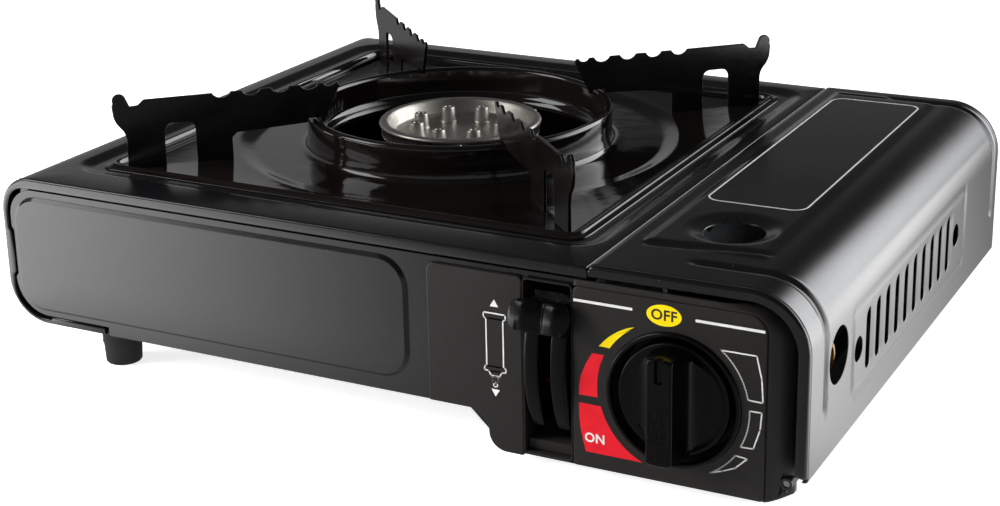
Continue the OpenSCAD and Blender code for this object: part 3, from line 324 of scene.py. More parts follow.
def wire(path: np.ndarray, r: float, n: int = 6) -> Shell:
    """A round wire along a closed path: rings square to the path's direction, whose two
    normals come from crossing it with a fixed direction that it never follows.

    Args:
        path: the path's points.
        r: the wire's radius.
        n: points in a ring.

    Returns:
        The shell.
    """
    ahead = unit(np.roll(path, -1, axis=0) - np.roll(path, 1, axis=0))
    side = unit(np.cross(ahead, [0.13, 0.97, 0.21]))
    up = np.cross(side, ahead)
    t = np.linspace(0, 2 * np.pi, n, endpoint=False)[None, :, None]
    rings = path[:, None] + r * (np.cos(t) * side[:, None] + np.sin(t) * up[:, None])
    return grid(np.concatenate([rings, rings[:1]]), wrap=True)


# ------------------------------------------------------------------ finishes


RGBA = {"data_type": "RGBA"}
SMOOTH = {"interpolation_type": "SMOOTHSTEP"}
TIMES = {"operation": "MULTIPLY"}
TIMES_PLUS = {"operation": "MULTIPLY_ADD"}


def linear(colour: str) -> tuple[float, float, float, float]:
    """An sRGB hex colour as linear red, green and blue, with alpha 1."""
    parts = [int(colour[i:i + 2], 16) / 255 for i in (1, 3, 5)]
    return (*[c / 12.92 if c <= 0.04045 else ((c + 0.055) / 1.055) ** 2.4 for c in parts], 1.0)


def add(tree: bpy.types.NodeTree, kind: str, settings: dict | None = None,
        **wires: object) -> bpy.types.Node:
    """Adds a shader node.

    Args:
        tree: the material's or the world's node tree.
        kind: Blender's name of the node type, after "ShaderNode".
        settings: attributes of the node.
        wires: a value or an output socket for each input, by its name with _ for a space, or
            i0, i1 for its place.

    Returns:
        The node.
    """
    made = tree.nodes.new("ShaderNode" + kind)
    for key, value in (settings or {}).items():
        setattr(made, key, value)
    for key, value in wires.items():
        place = int(key[1:]) if key[0] == "i" and key[1:].isdigit() else key.replace("_", " ")
        if isinstance(value, bpy.types.NodeSocket):
            tree.links.new(value, made.inputs[place])
        else:
            made.inputs[place].default_value = value
    return made


def blank(block: bpy.types.Material | bpy.types.World) -> bpy.types.NodeTree:
    """The emptied node tree of a new material or world.

    Args:
        block: the material or world.

    Returns:
        Its node tree.
    """
    block.use_nodes = True
    block.node_tree.nodes.clear()
    return block.node_tree


class Grain(Enum):
    """How a finish's surface runs: the pattern's scale along each axis."""

    EVEN = (1.0, 1.0, 1.0)
    ALONG_X = (0.02, 1.0, 1.0)


@dataclass(frozen=True)
class Finish:
    """One real finish: a base colour with a drifting second tone, and a fine surface.

    tone_mm and grain_mm are the sizes of the colour's drift and of the surface's grain, and
    grain_height is in mm. dust is how much pale dust lies on it.
    """

    name: str
    colour: str
    second: str
    rough: float
    rough_drift: float = 0.05
    metallic: float = 0.0
    ior: float = 1.5
    specular: float = 0.5
    coat: float = 0.0
    coat_rough: float = 0.05
    tone_mm: float = 30.0
    grain_mm: float = 0.6
    grain_height: float = 0.01
    grain: Grain = Grain.EVEN
    dust: float = 0.0

    def made(self) -> bpy.types.Material:
        """The material, made once and found by its name after that.

        Returns:
            The material.
        """
        old = bpy.data.materials.get(self.name)
        if old:
            return old
        material = bpy.data.materials.new(self.name)
        tree = blank(material)
        here = add(tree, "TexCoord").outputs["Object"]
        turned = add(tree, "Mapping", Vector=here, Scale=self.grain.value).outputs[0]
        drift = add(tree, "TexNoise", Vector=here, Scale=1000 / self.tone_mm, Detail=4.0,
                    Roughness=0.6).outputs["Fac"]
        spread = add(tree, "MapRange", Value=drift, From_Min=0.35, From_Max=0.65).outputs[0]
        grain = add(tree, "TexNoise", Vector=turned, Scale=1000 / self.grain_mm,
                    Detail=3.0).outputs["Fac"]
        colour = add(tree, "Mix", RGBA, Factor=spread, A=linear(self.colour),
                     B=linear(self.second)).outputs["Result"]
        if self.dust:
            colour = self.dusted(tree, colour, here)
        rough = add(tree, "MapRange", Value=grain, From_Min=0.3, From_Max=0.7,
                    To_Min=self.rough - self.rough_drift,
                    To_Max=self.rough + self.rough_drift).outputs[0]
        rough = add(tree, "Math", TIMES_PLUS, i0=spread, i1=self.rough_drift, i2=rough).outputs[0]
        bump = add(tree, "Bump", Height=grain, Distance=self.grain_height * MM * 2,
                   Strength=1.0).outputs[0]
        body = add(tree, "BsdfPrincipled", Base_Color=colour, Roughness=rough, Normal=bump,
                   Metallic=self.metallic, Coat_Weight=self.coat, Coat_Roughness=self.coat_rough)
        if not self.metallic:
            body.inputs["IOR"].default_value = self.ior
            body.inputs["Specular IOR Level"].default_value = self.specular
        add(tree, "OutputMaterial", Surface=body.outputs[0])
        return material

    def dusted(self, tree: bpy.types.NodeTree, colour: bpy.types.NodeSocket,
               here: bpy.types.NodeSocket) -> bpy.types.NodeSocket:
        """The colour with pale specks about 4 mm apart.

        Args:
            tree: the material's node tree.
            colour: the colour so far.
            here: object coordinates.

        Returns:
            The dusted colour.
        """
        specks = add(tree, "TexVoronoi", Vector=here, Scale=1000 / 4.0).outputs["Distance"]
        mask = add(tree, "MapRange", Value=specks, From_Min=0.06, From_Max=0.03,
                   To_Max=self.dust).outputs[0]
        return add(tree, "Mix", RGBA, Factor=mask, A=colour,
                   B=linear("#8f8c86")).outputs["Result"]


# Baked alkyd paint on pressed steel: satin black, with the fine orange peel of a sprayed coat
PAINT = Finish("black_baked_paint", "#0a0a0b", "#0e0e10", 0.19, 0.035, ior=1.52, specular=0.55,
               coat=0.1, coat_rough=0.14, tone_mm=60, grain_mm=0.5, grain_height=0.004, dust=0.25)
# The same paint inside the casing, sprayed thinner and duller
TRAY_PAINT = Finish("black_inner_paint", "#1b1b1c", "#242424", 0.45, 0.06, tone_mm=40,
                    grain_mm=0.7, grain_height=0.008)
# Powder-coated steel of the control panel: warm dark grey with a fine matt texture
PANEL = Finish("grey_powder_coat", "#1f1d1b", "#23201f", 0.46, 0.05, specular=0.4, tone_mm=45,
               grain_mm=0.35, grain_height=0.006, dust=0.15)
# Vitreous enamel fired on steel: glassy black-brown with a slow wave in the glaze
ENAMEL = Finish("vitreous_enamel", "#0c0908", "#110d0b", 0.07, 0.02, ior=1.52, specular=0.55,
                tone_mm=50, grain_mm=9.0, grain_height=0.035)
# The same enamel on the arms' cut edges and faces, where it pulls thin and loses its gloss
ARM_ENAMEL = Finish("thin_enamel", "#0b0908", "#100d0b", 0.17, 0.04, specular=0.4, tone_mm=20,
                    grain_mm=1.5, grain_height=0.012)
# Bright zinc plate with a faint blue passivation and a soft sheen. Its silver is darkened as
# painted shade, so that the parts inside the cartridge bay look as dark as the shade there
ZINC_PAINTED_SHADE = Finish("zinc_plate_painted_shade", "#8d9094", "#818488", 0.34, 0.08, metallic=1.0, tone_mm=12,
              grain_mm=0.8, grain_height=0.004)
# Turned and polished steel: bright, with a tight sheen
STEEL = Finish("polished_steel", "#a2a2a4", "#939395", 0.26, metallic=1.0, tone_mm=8,
               grain_mm=0.4, grain_height=0.002)
# Die-cast aluminium: dull, with the flow marks of the die
CAST = Finish("die_cast_aluminium", "#a3a4a6", "#8d8e90", 0.42, 0.08, metallic=1.0, tone_mm=6,
              grain_mm=0.9, grain_height=0.02)
# Spun and shot-blasted aluminium of the burner's head: silky and bright
BURNER = Finish("satin_aluminium", "#b2aea7", "#a39f98", 0.4, 0.06, metallic=1.0, tone_mm=9,
                grain_mm=0.5, grain_height=0.008)
# Machined brass: bright, with turning marks drawn at 0.4 mm so that they show
BRASS = Finish("machined_brass", "#c99a45", "#b98a3a", 0.24, 0.06, metallic=1.0, tone_mm=5,
               grain_mm=0.4, grain_height=0.003, grain=Grain.ALONG_X)
# Glazed alumina of the electrode's insulator: white and glossy
CERAMIC = Finish("glazed_alumina", "#ece8dc", "#ddd8ca", 0.2, coat=0.5, tone_mm=6,
                 grain_mm=1.2)
# Moulded nylon of the igniter's case: matt black
NYLON = Finish("black_nylon", "#1a1a1b", "#222223", 0.45, tone_mm=10, grain_mm=0.4)
# Silicone sheath of the igniter's lead: dull red
SHEATH = Finish("red_silicone", "#9b2d22", "#a8382b", 0.4, tone_mm=6, grain_mm=0.5,
                grain_height=0.006)
# Moulded phenolic of the knob and the lever's grip: half matt from a spark-eroded mould,
# whose 0.1 mm pits are drawn at 0.3 mm so that they show
PLASTIC = Finish("moulded_phenolic", "#050505", "#080707", 0.21, 0.03, specular=0.2,
                 tone_mm=25, grain_mm=0.3, grain_height=0.004)
# Rubber of the feet: dull dark grey
RUBBER = Finish("black_rubber", "#191919", "#202020", 0.7, 0.06, tone_mm=6, grain_mm=0.4,
                grain_height=0.02)
# Nitrile rubber of the seals: black with a low sheen
SEAL = Finish("nitrile_rubber", "#141414", "#1b1b1b", 0.55, tone_mm=4, grain_mm=0.3)
# Screen-printed inks: a thin satin film each, with the mesh's 0.1 mm mark drawn at 0.3 mm
WHITE_INK = Finish("white_screen_ink", "#e6e5e2", "#dedcd8", 0.42, 0.04, tone_mm=6,
                   grain_mm=0.3, grain_height=0.002)
RED_INK = Finish("red_screen_ink", "#e01a2a", "#d61625", 0.45, 0.04, specular=0.2, tone_mm=6,
                 grain_mm=0.3, grain_height=0.002)
YELLOW_INK = Finish("yellow_screen_ink", "#ffe100", "#f7d800", 0.45, 0.04, specular=0.2,
                    tone_mm=6, grain_mm=0.3, grain_height=0.002)
DARK_INK = Finish("dark_screen_ink", "#242120", "#292625", 0.45, 0.04, tone_mm=6, grain_mm=0.3,
                  grain_height=0.002)

SLOT_FINISH = {
    "casing_paint": PAINT, "tray_paint": TRAY_PAINT, "panel_paint": PANEL, "enamel": ENAMEL,
    "zinc_plate": ZINC_PAINTED_SHADE, "bright_steel": STEEL, "cast_aluminium": CAST,
    "burner_aluminium": BURNER, "brass": BRASS, "ceramic": CERAMIC, "igniter_plastic": NYLON,
    "wire_sheath": SHEATH, "control_plastic": PLASTIC, "foot_rubber": RUBBER,
    "seal_rubber": SEAL,
}


# ------------------------------------------------------------------ pieces


def linked(name: str, data: bpy.types.ID) -> bpy.types.Object:
    """A new object in the scene.

    Args:
        name: its name.
        data: its mesh, curve, lamp or camera.

    Returns:
        The object.
    """
    made = bpy.data.objects.new(name, data)
    bpy.context.scene.collection.objects.link(made)
    return made


def put(name: str, shell: Shell, finish: Finish, body: str = "base",
        stands_for: tuple[str, ...] = (), wall: float = 0.0, sharp: float = 35.0,
        closed: bool = False) -> bpy.types.Object:
    """Makes a piece of a shell, dresses it and hangs it on its body.

    Args:
        name: the piece's name.
        shell: its surface, in millimetres.
        finish: what it is finished in.
        body: the body that it rides on.
        stands_for: CAD nodes that it replaces.
        wall: thickness that Solidify gives it, inwards.
        sharp: edges that turn by more degrees than this stay sharp.
        closed: the shell is a closed solid, so its normals are worked out again.

    Returns:
        The object.
    """
    mesh = bpy.data.meshes.new(name)
    faces = [list(dict.fromkeys(q)) for q in shell.quads.tolist()] + shell.caps
    mesh.from_pydata((shell.points * MM).tolist(), [], [f for f in faces if len(f) > 2])
    work = bmesh.new()
    work.from_mesh(mesh)
    bmesh.ops.remove_doubles(work, verts=work.verts, dist=2e-6)
    bmesh.ops.dissolve_degenerate(work, edges=work.edges, dist=1e-7)
    if closed:
        bmesh.ops.recalc_face_normals(work, faces=work.faces)
    work.to_mesh(mesh)
    work.free()
    mesh.shade_smooth()
    mesh.set_sharp_from_angle(angle=math.radians(sharp))
    mesh.materials.append(finish.made())
    piece = linked(name, mesh)
    if wall:
        solid = piece.modifiers.new("wall", "SOLIDIFY")
        solid.thickness, solid.offset = wall * MM, -1.0
    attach(piece, body)
    if stands_for:
        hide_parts(*stands_for)
    log.info("%s: %d faces on %s", name, len(mesh.polygons), body)
    return piece


# ------------------------------------------------------------------ casing


def axis_of(joint: str) -> tuple[float, float, float]:
    """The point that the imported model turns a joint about, in millimetres."""
    joints = frame["record"]["behaviour"]["joints"]
    return tuple(round(v / MM, 3) for j in joints if j["name"] == joint for v in j["pos_m"])


KNOB_AXIS = axis_of("knob_turn")
HINGE_AXIS = axis_of("lid_hinge")
LEVER_AXIS = axis_of("lever_swing")


@dataclass(frozen=True)
class Planes:
    """Planes and axes that the sub-assemblies share."""

    left: float = round(cad_box[0][0] / MM, 1)
    right: float = round(cad_box[1][0] / MM, 1)
    back: float = round(cad_box[1][1] / MM, 1)
    knob_y: float = round(cad_box[0][1] / MM, 1)  # face of the knob's grip
    front: float = KNOB_AXIS[1]
    field_y: float = KNOB_AXIS[1] + 0.3  # face of the panel's field
    plate_y: float = KNOB_AXIS[1] - 1.3  # face of its raised plates
    seam: float = 89.2  # cover and lid meet here
    top: float = 80.0
    floor: float = 18.5  # of the burner side
    bay_floor: float = 3.5
    hob_x: float = -34.0
    hob_y: float = 11.5
    knob_x: float = KNOB_AXIS[0]
    knob_z: float = KNOB_AXIS[2]


P = Planes()


def rim(path: np.ndarray, inward: np.ndarray, width: np.ndarray, y: float, side: float,
        fold: float) -> Shell:
    """The flange that a casing folds inwards round its open end.

    Point (row, s) is path(s) + inward(s) * depth(row, s), at y + side * run(row). The rows go
    from the flange's turned-back hem, over its flat, to a quarter circle of radius fold that
    ends on the casing's skin.

    Args:
        path: the skin's section, X and Z.
        inward: unit directions into the section.
        width: the flange's width at each point.
        y: the end's plane.
        side: 1 where the casing lies behind the plane, -1 where it lies before it.
        fold: outer radius of the fold.

    Returns:
        The shell, which faces outwards for the front end of a path that runs anticlockwise
        seen from the front.
    """
    w = width[None]
    turn = np.linspace(0, np.pi / 2, 7)[:, None]
    hem = w - 0.7
    depth = np.concatenate([w - 0.1, w + 0.1, w - 0.15, hem, (hem + fold) / 2,
                            fold * (1 - np.sin(turn)) + 0 * w])
    run = np.concatenate([[2.2, 1.0, 0.25, 0.0, 0.0], fold * (1 - np.cos(turn[:, 0]))])
    flat = path[None] + inward[None] * depth[..., None]
    points = pts(flat[..., 0], (y + side * run)[:, None], flat[..., 1])
    return grid(points, flip=side > 0)


def drawn(section: np.ndarray, y: np.ndarray) -> Shell:
    """A sheet drawn along Y: point (row, column) is section(row), in X and Z, at y(column)."""
    return grid(pts(section[:, :1], y, section[:, 1:]))


@dataclass
class Cover:
    """Fixed half of the casing: its top with the pan's recess, the left wall and the lip."""

    shoulder_r: float = 15.0
    belly_r: float = 18.0
    lip_x: float = -124.0  # end of the lip that the wall turns under the floor
    fold: float = 1.1
    flange_top: float = 4.4
    flange_side: float = 2.7
    steps_z: tuple[float, ...] = (57.8, 56.2, 39.2, 37.6)  # where the left flange's width steps
    steps_x: tuple[float, ...] = (-151.5, -149.9)  # and where the lower one's does
    recess_half: float = 114.0  # half width of the pan's recess
    recess_r: float = 10.0
    ledge: float = 78.5  # height of the ledge under the pan's rim
    ledge_half: float = 101.0  # half width of the opening inside it
    sheet: float = 0.6
    samples: int = 72
    seam_r: float = 0.7
    seam_deep: float = 7.5  # how far the sheet turns down at the seam

    def section(self) -> tuple[np.ndarray, np.ndarray]:
        """The sheet's section, in X and Z.

        Returns:
            Its straight top, from the seam's fold to the shoulder, and the rest down to the lip.
        """
        top = pts(np.linspace(P.seam - self.seam_r, P.left + self.shoulder_r, self.samples),
                  P.top)
        rest = fillet([(top[-1, 0] + 0.01, P.top, 0), (P.left, P.top, self.shoulder_r),
                       *((P.left, z, 0) for z in self.steps_z), (P.left, P.floor, self.belly_r),
                       *((x, P.floor, 0) for x in self.steps_x), (self.lip_x, P.floor, 0)],
                      step=1.2)[2:]
        return top, np.concatenate([top[-1:], rest])

    def fold_line(self) -> np.ndarray:
        """The small round fold at the seam, in X and Z, from the side up to the top."""
        return arc(P.seam - self.seam_r, P.top - self.seam_r, self.seam_r, 0, 90, 6)

    def rims(self) -> list[Shell]:
        """Front and back flanges, which narrow from the top to the side.

        The front one is 1.3 mm wider halfway down the side, 0.7 mm narrower under that and
        1.4 mm wider under the belly.

        Returns:
            The two shells.
        """
        top, rest = self.section()
        corner = self.fold_line()
        path = np.concatenate([corner[:-1], top, rest[1:]])
        step = np.gradient(path, axis=0)
        inward = unit(pts(-step[:, 1], step[:, 0]))
        inward[: len(corner) + 1] = (0, -1)
        x, z = path.T
        down = soft(x, P.left + 14, P.left + 2) * (z < P.top)
        down[z < P.top - 14] = 1.0
        width = self.flange_top + (self.flange_side - self.flange_top) * down
        width[: len(corner)] -= P.top - z[: len(corner)]
        more = (1.3 * (z < 57) * (z > 38) - 0.7 * soft(z, 37, 26)
                + 1.4 * (x > -150.5) * (z < P.floor + 0.5))
        return [rim(path, inward, width + more, P.front, 1, self.fold),
                rim(path, inward, width, P.back, -1, self.fold)]

    def skin(self) -> Shell:
        """Top, wall and lip. The top is a ring of rows between its four edges and the recess:
        each row is the rounded square of its own half width and height, met along rays from
        the burner's axis.

        Returns:
            The shell.
        """
        top, rest = self.section()
        y = np.linspace(P.front + self.fold, P.back - self.fold, self.samples)
        seam = np.concatenate([[[P.seam, P.top - self.seam_deep]], self.fold_line()])
        edge = border(top[::-1, 0], y)
        angle = np.arctan2(edge[:, 1] - P.hob_y, edge[:, 0] - P.hob_x)
        rows = [pts(*edge.T, P.top)]
        outer, inner = self.recess_half + 5.0, self.recess_half - 2.6
        half = self.ledge_half
        for h in (*np.linspace(outer, inner, 16), 109, 105, 102, half + 0.2, half):
            reach = ray(angle, h, max(self.recess_r + h - self.recess_half, 3))
            z = P.top - (P.top - self.ledge) * soft(h, outer - 0.2, inner + 0.2)
            rows.append(pts(P.hob_x + reach * np.cos(angle), P.hob_y + reach * np.sin(angle),
                            z - 2.0 * (h == half)))
        return join(grid(np.stack(rows), wrap=True), drawn(rest, y), drawn(seam, y))

    def build(self) -> None:
        """Puts the cover in place of the CAD sheet."""
        put("cover_skin", join(self.skin(), *self.rims()), PAINT,
            stands_for=("top_cover",), wall=self.sheet, sharp=50)


@dataclass
class Lid:
    """Hinged half of the casing over the cartridge bay: sight hole, regulator hole, louvres."""

    gap: float = 0.5
    crown: float = 1.3  # how much higher than the cover its top is
    shoulder_r: float = 22.0
    hem: float = 13.5  # height of the side's lower edge
    fold: float = 1.9
    flange: float = 4.4
    flange_end: float = 3.6  # the flanges stop short of the lower edge by this
    sheet: float = 0.6
    sight: tuple[float, float, float] = (123.0, -69.0, 11.4)  # x, y and radius
    plug: tuple[float, float, float] = (49.3, -91.5, 10.5)  # z, y and radius
    louvre_n: int = 10
    louvre_y: float = -54.5  # the front louvre
    louvre_z: float = 42.5  # middle of the row
    louvre_pitch: float = 12.3
    louvre_w: float = 7.2
    louvre_h: float = 23.6
    louvre_shift: float = -1.4  # from a louvre's middle to its open slot's
    end_hole_r: float = 4.7
    raised: tuple[float, float, float, float] = (96.5, -94.5, 145.0, 131.0)  # x, y; x, y
    raised_h: float = 0.9
    dish_r: tuple[float, float] = (18.5, 9.5)  # outer and inner edge of the sight hole's dish
    dish_deep: float = 2.0
    grooves: tuple[tuple[float, float], ...] = ((-93.5, 0.1), (126.5, 0.0))  # y and slope
    groove_deep: float = 0.8
    bends_y: tuple[float, float] = (P.front + 18.3, P.back - 10.0)
    bend_x: tuple[float, float] = (119.0, 126.0)  # the grooves down the bend fade in here
    bend_z: tuple[float, float] = (30.0, 34.0)  # and out here
    bend_deep: float = 1.3
    frame_y: float = 3.0  # middle of the groove round the side's field
    frame_half: tuple[float, float] = (78.0, 16.5)  # its half sizes along Y and Z
    frame_r: float = 3.0
    frame_deep: float = 0.6
    louvre_deep: float = 0.65
    label: tuple[float, float, float, float] = (100.2, -42.0, 140.2, 118.0)  # x, y; x, y
    hinge: tuple[float, float, float] = (HINGE_AXIS[0], 0.0, HINGE_AXIS[2])
    knuckles: tuple[tuple[float, float], ...] = ((-107.6, -0.9), (15.9, 122.6))  # along Y
    leaf_x: float = P.right - 2.0  # far edge of the hinge's leaves

    def __post_init__(self) -> None:
        """Works out the section once: its points, lengths along it and outward normals."""
        x0, x1 = P.seam + self.gap, P.right - self.shoulder_r
        line = fillet([(x0, P.top - 5, 0), (x0, P.top + 0.8, 1.2), (x1, P.top + self.crown, 0),
                       (P.right, P.top + self.crown, 0), (P.right, self.hem, 0.8),
                       (P.right - 2, self.hem, 0)], step=0.3)
        low = line[:, 1] < P.top - 20
        bend = arc(x1, P.top + self.crown - self.shoulder_r, self.shoulder_r, 90, 0, 60)
        self.path = np.concatenate([line[(line[:, 0] < x1) & ~low], bend, line[low]])
        self.run = lengths(self.path)
        step = unit(np.gradient(self.path, self.run, axis=0))
        self.out = pts(-step[:, 1], step[:, 0])
        self.on_top = self.path[:, 1] > P.top - 1.5

    def s_of_x(self, x: np.ndarray | float) -> np.ndarray | float:
        """Length along the section to where the top passes X."""
        return np.interp(x, self.path[self.on_top, 0], self.run[self.on_top])

    def s_of_z(self, z: float) -> float:
        """Length along the section to where the side passes Z."""
        side = (self.path[:, 0] > P.right - 3) & (self.run > 60)
        return float(np.interp(-z, -self.path[side, 1], self.run[side]))

    def at(self, values: np.ndarray, s: np.ndarray) -> tuple[np.ndarray, ...]:
        """Both columns of values, one row for each point of the section, at the lengths s."""
        return tuple(np.interp(s, self.run, column) for column in values.T)

    def height(self, s: np.ndarray, y: np.ndarray) -> np.ndarray:
        """How far the stamped features lift the skin off its section, as a sum of soft steps.

        They are the raised field on the top, the dish round the sight hole, two grooves across
        the top, one groove down the bend near each end, a groove round the side's field, and
        the bent edge behind each louvre slot.

        Args:
            s: lengths along the section.
            y: places along Y.

        Returns:
            The lift at each point.
        """
        x, z = self.at(self.path, s)
        on_top = z > P.top - 1.5
        x0, y0, x1, y1 = self.raised
        raised = soft(x, x0, x0 + 3) * soft(x, x1, x1 - 4) * soft(y, y0, y0 + 4)
        h = self.raised_h * raised * soft(y, y1, y1 - 3.5) * on_top
        reach = np.hypot(x - self.sight[0], y - self.sight[1])
        h = h - self.dish_deep * soft(reach, *self.dish_r) * on_top
        across = soft(x, x0 + 0.5, x0 + 4.5) * soft(x, x1 + 1, x1 - 4) * on_top
        for centre, slope in self.grooves:
            away = np.abs(y - (centre + slope * (x - 100)))
            h = h - self.groove_deep * soft(away, 2.6, 0.4) * across
        bend = (soft(s, *(self.s_of_x(x) for x in self.bend_x))
                * soft(s, *(self.s_of_z(z) for z in self.bend_z)))
        for centre in self.bends_y:
            h = h - self.bend_deep * soft(np.abs(y - centre), 2.8, 0.3) * bend
        over_y = np.abs(y - self.frame_y) - self.frame_half[0]
        over_z = np.abs(z - self.louvre_z) - self.frame_half[1]
        r = self.frame_r
        away = np.abs(np.where((over_y > -r) & (over_z > -r), np.hypot(over_y + r, over_z + r) - r,
                               np.maximum(over_y, over_z)))
        side = soft(s, self.s_of_z(64), self.s_of_z(62))
        h = h - self.frame_deep * soft(away, 2.0, 0.2) * side
        half = self.louvre_pitch / 2
        slot = (y - self.louvre_y + half) % self.louvre_pitch - half
        middle = self.louvre_y + (self.louvre_n - 1) * half
        row = np.abs(y - middle) < self.louvre_n * half
        bent = (soft(slot, -3.0, -0.5) * soft(slot, 5.9, 2.0)
                * soft(np.abs(z - self.louvre_z), self.louvre_h / 2 + 1, self.louvre_h / 2 - 3))
        return h - self.louvre_deep * bent * side * row

    def laid(self, s: np.ndarray, y: np.ndarray, lift: np.ndarray | float = 0.0) -> np.ndarray:
        """Points of the skin: the section at length s, moved along its outward normal by
        height(s, y) + lift, and no further right than the casing.

        Args:
            s: lengths along the section.
            y: places along Y.
            lift: how far the points stand off the skin.

        Returns:
            The points.
        """
        (x, z), (out_x, out_z) = self.at(self.path, s), self.at(self.out, s)
        up = self.height(s, y) + lift
        return pts(np.minimum(x + out_x * up, P.right), y, z + out_z * up)

    def holes(self) -> list[tuple[float, float, float, float, float, float]]:
        """The sight hole, the regulator hole, the louvres and the row's two round end holes.

        Returns:
            For each: s, y, radius, half length of its straight part along s, and the half
            sizes of its cell.
        """
        made = [(float(self.s_of_x(self.sight[0])), *self.sight[1:], 0.0, 15.0, 15.0),
                (self.s_of_z(self.plug[0]), *self.plug[1:], 0.0, 13.0, 13.0)]
        row = self.s_of_z(self.louvre_z)
        slot = self.louvre_w / 2, (self.louvre_h - self.louvre_w) / 2, 15.0, 5.5
        for k in range(-1, self.louvre_n + 1):
            y = self.louvre_y + k * self.louvre_pitch + self.louvre_shift
            made.append((row, y, *(slot if 0 <= k < self.louvre_n
                                   else (self.end_hole_r, 0.0, 15.0, 6.3))))
        return made

    @staticmethod
    def lines(ends: set[float], cells: list[tuple[float, float]], step: float) -> np.ndarray:
        """Grid lines that meet both sides of every cell.

        Args:
            ends: the first and last line, and any others that are wanted.
            cells: middle and half size of each cell.
            step: the widest gap between lines, about.

        Returns:
            The lines' places.
        """
        cuts = sorted(ends | {round(mid + k * half, 4) for mid, half in cells for k in (-1, 1)})
        return np.unique(np.concatenate([
            np.linspace(a, b, max(2, int((b - a) / step) + 1))
            for a, b in zip(cuts, cuts[1:])]).round(6))

    def skin(self) -> Shell:
        """The skin as a grid in s and y with a cell left out round every hole, and in each
        cell a ring of rows from the cell's edge to the hole, where a point of the edge meets
        the nearest point of the hole's outline.

        Returns:
            The shell.
        """
        holes = self.holes()
        s_lines = self.lines({0.0, self.run[-1], self.s_of_x(148), self.s_of_z(59.3)},
                             [(h[0], h[4]) for h in holes], 1.1)
        y_lines = self.lines({P.front + self.fold, P.back - self.fold},
                             [(h[1], h[5]) for h in holes], 1.0)
        s, y = np.meshgrid(s_lines, y_lines, indexing="ij")
        sheet = grid(self.laid(s, y), flip=True)
        mid_s, mid_y = (((v[:-1, :-1] + v[1:, 1:]) / 2).reshape(-1) for v in (s, y))
        keep = np.ones(len(mid_s), bool)
        parts = []
        for hs, hy, r, half, cell_s, cell_y in holes:
            keep &= ~((np.abs(mid_s - hs) < cell_s) & (np.abs(mid_y - hy) < cell_y))
            edge = border(s_lines[np.abs(s_lines - hs) < cell_s + 1e-3],
                          y_lines[np.abs(y_lines - hy) < cell_y + 1e-3])
            core = pts(np.clip(edge[:, 0], hs - half, hs + half), hy)
            away = unit(edge - core)
            rows = [self.laid(*edge.T)]
            # way from the cell's edge to the hole, extra radius and lift of each row: the last
            # ones turn the hole's edge in
            for t, extra, lift in ((0.25, 0, 0), (0.45, 0, 0), (0.65, 0, 0), (0.8, 0, 0),
                                   (0.92, 0, -0.01), (1, 0.15, -0.04), (1, 0.03, -0.14),
                                   (1, 0, -0.35)):
                p = edge + (core + away * (r + extra) - edge) * t
                rows.append(self.laid(*p.T, lift))
            parts.append(grid(np.stack(rows), wrap=True))
        sheet.quads = sheet.quads[keep]
        return join(sheet, *parts)

    def rims(self) -> list[Shell]:
        """Front and back flanges, from the seam round to near the lower edge.

        Returns:
            The two shells.
        """
        s = np.linspace(3.9, self.run[-1] - self.flange_end, 150)
        path, out = pts(*self.at(self.path, s)), pts(*self.at(self.out, s))
        out[path[:, 0] < P.seam + 4] = (0, 1)
        near = path[:, 0] < P.seam + 2
        width = self.flange - near * (P.top + 0.8 - path[:, 1])
        return [rim(path[::-1], -unit(out)[::-1], width[::-1], y, side, self.fold)
                for y, side in ((P.front, 1), (P.back, -1))]

    def printed_frame(self) -> Shell:
        """A plain printed line, 0.7 mm wide, round the raised field: a rounded rectangle and
        its inset, both laid on the skin.

        Returns:
            The shell.
        """
        loop = filled(rect(*self.label, 6, step=0.5), 4.0)
        rows = []
        for depth, lift in ((0.0, -0.02), (0.0, 0.04), (0.7, 0.04), (0.7, -0.02)):
            line = inset(loop, depth)
            rows.append(self.laid(self.s_of_x(line[:, 0]), line[:, 1], lift))
        return grid(np.stack(rows), wrap=True)

    def build(self) -> None:
        """Puts the lid's skin in place of the CAD sheet, with the hinge's leaf and print."""
        put("lid_skin", join(self.skin(), *self.rims()), PAINT, "lid", ("lid",),
            wall=self.sheet, sharp=50)
        x, _, z = self.hinge
        made = []
        for y0, y1 in self.knuckles:
            bar = lathe(np.array([[1.35, y0], [2.0, y0], [2.2, y0 + 0.2], [2.2, y1 - 0.2],
                                  [2.0, y1], [1.35, y1]]), 24)
            leaf = plate(filled(rect(x, y0, self.leaf_x, y1), 30),
                         [(0.1, z + 1.2), (0, z + 1.3), (0, z + 1.7), (0.1, z + 1.8)])
            made += [placed(bar, (1, 0, 0), (0, 0, -1), (0, 1, 0), self.hinge), leaf]
        put("lid_hinge_leaf", join(*made), PAINT, "lid", closed=True)
        put("lid_printed_frame", self.printed_frame(), WHITE_INK, "lid")


# ------------------------------------------------------------------ pan and arms


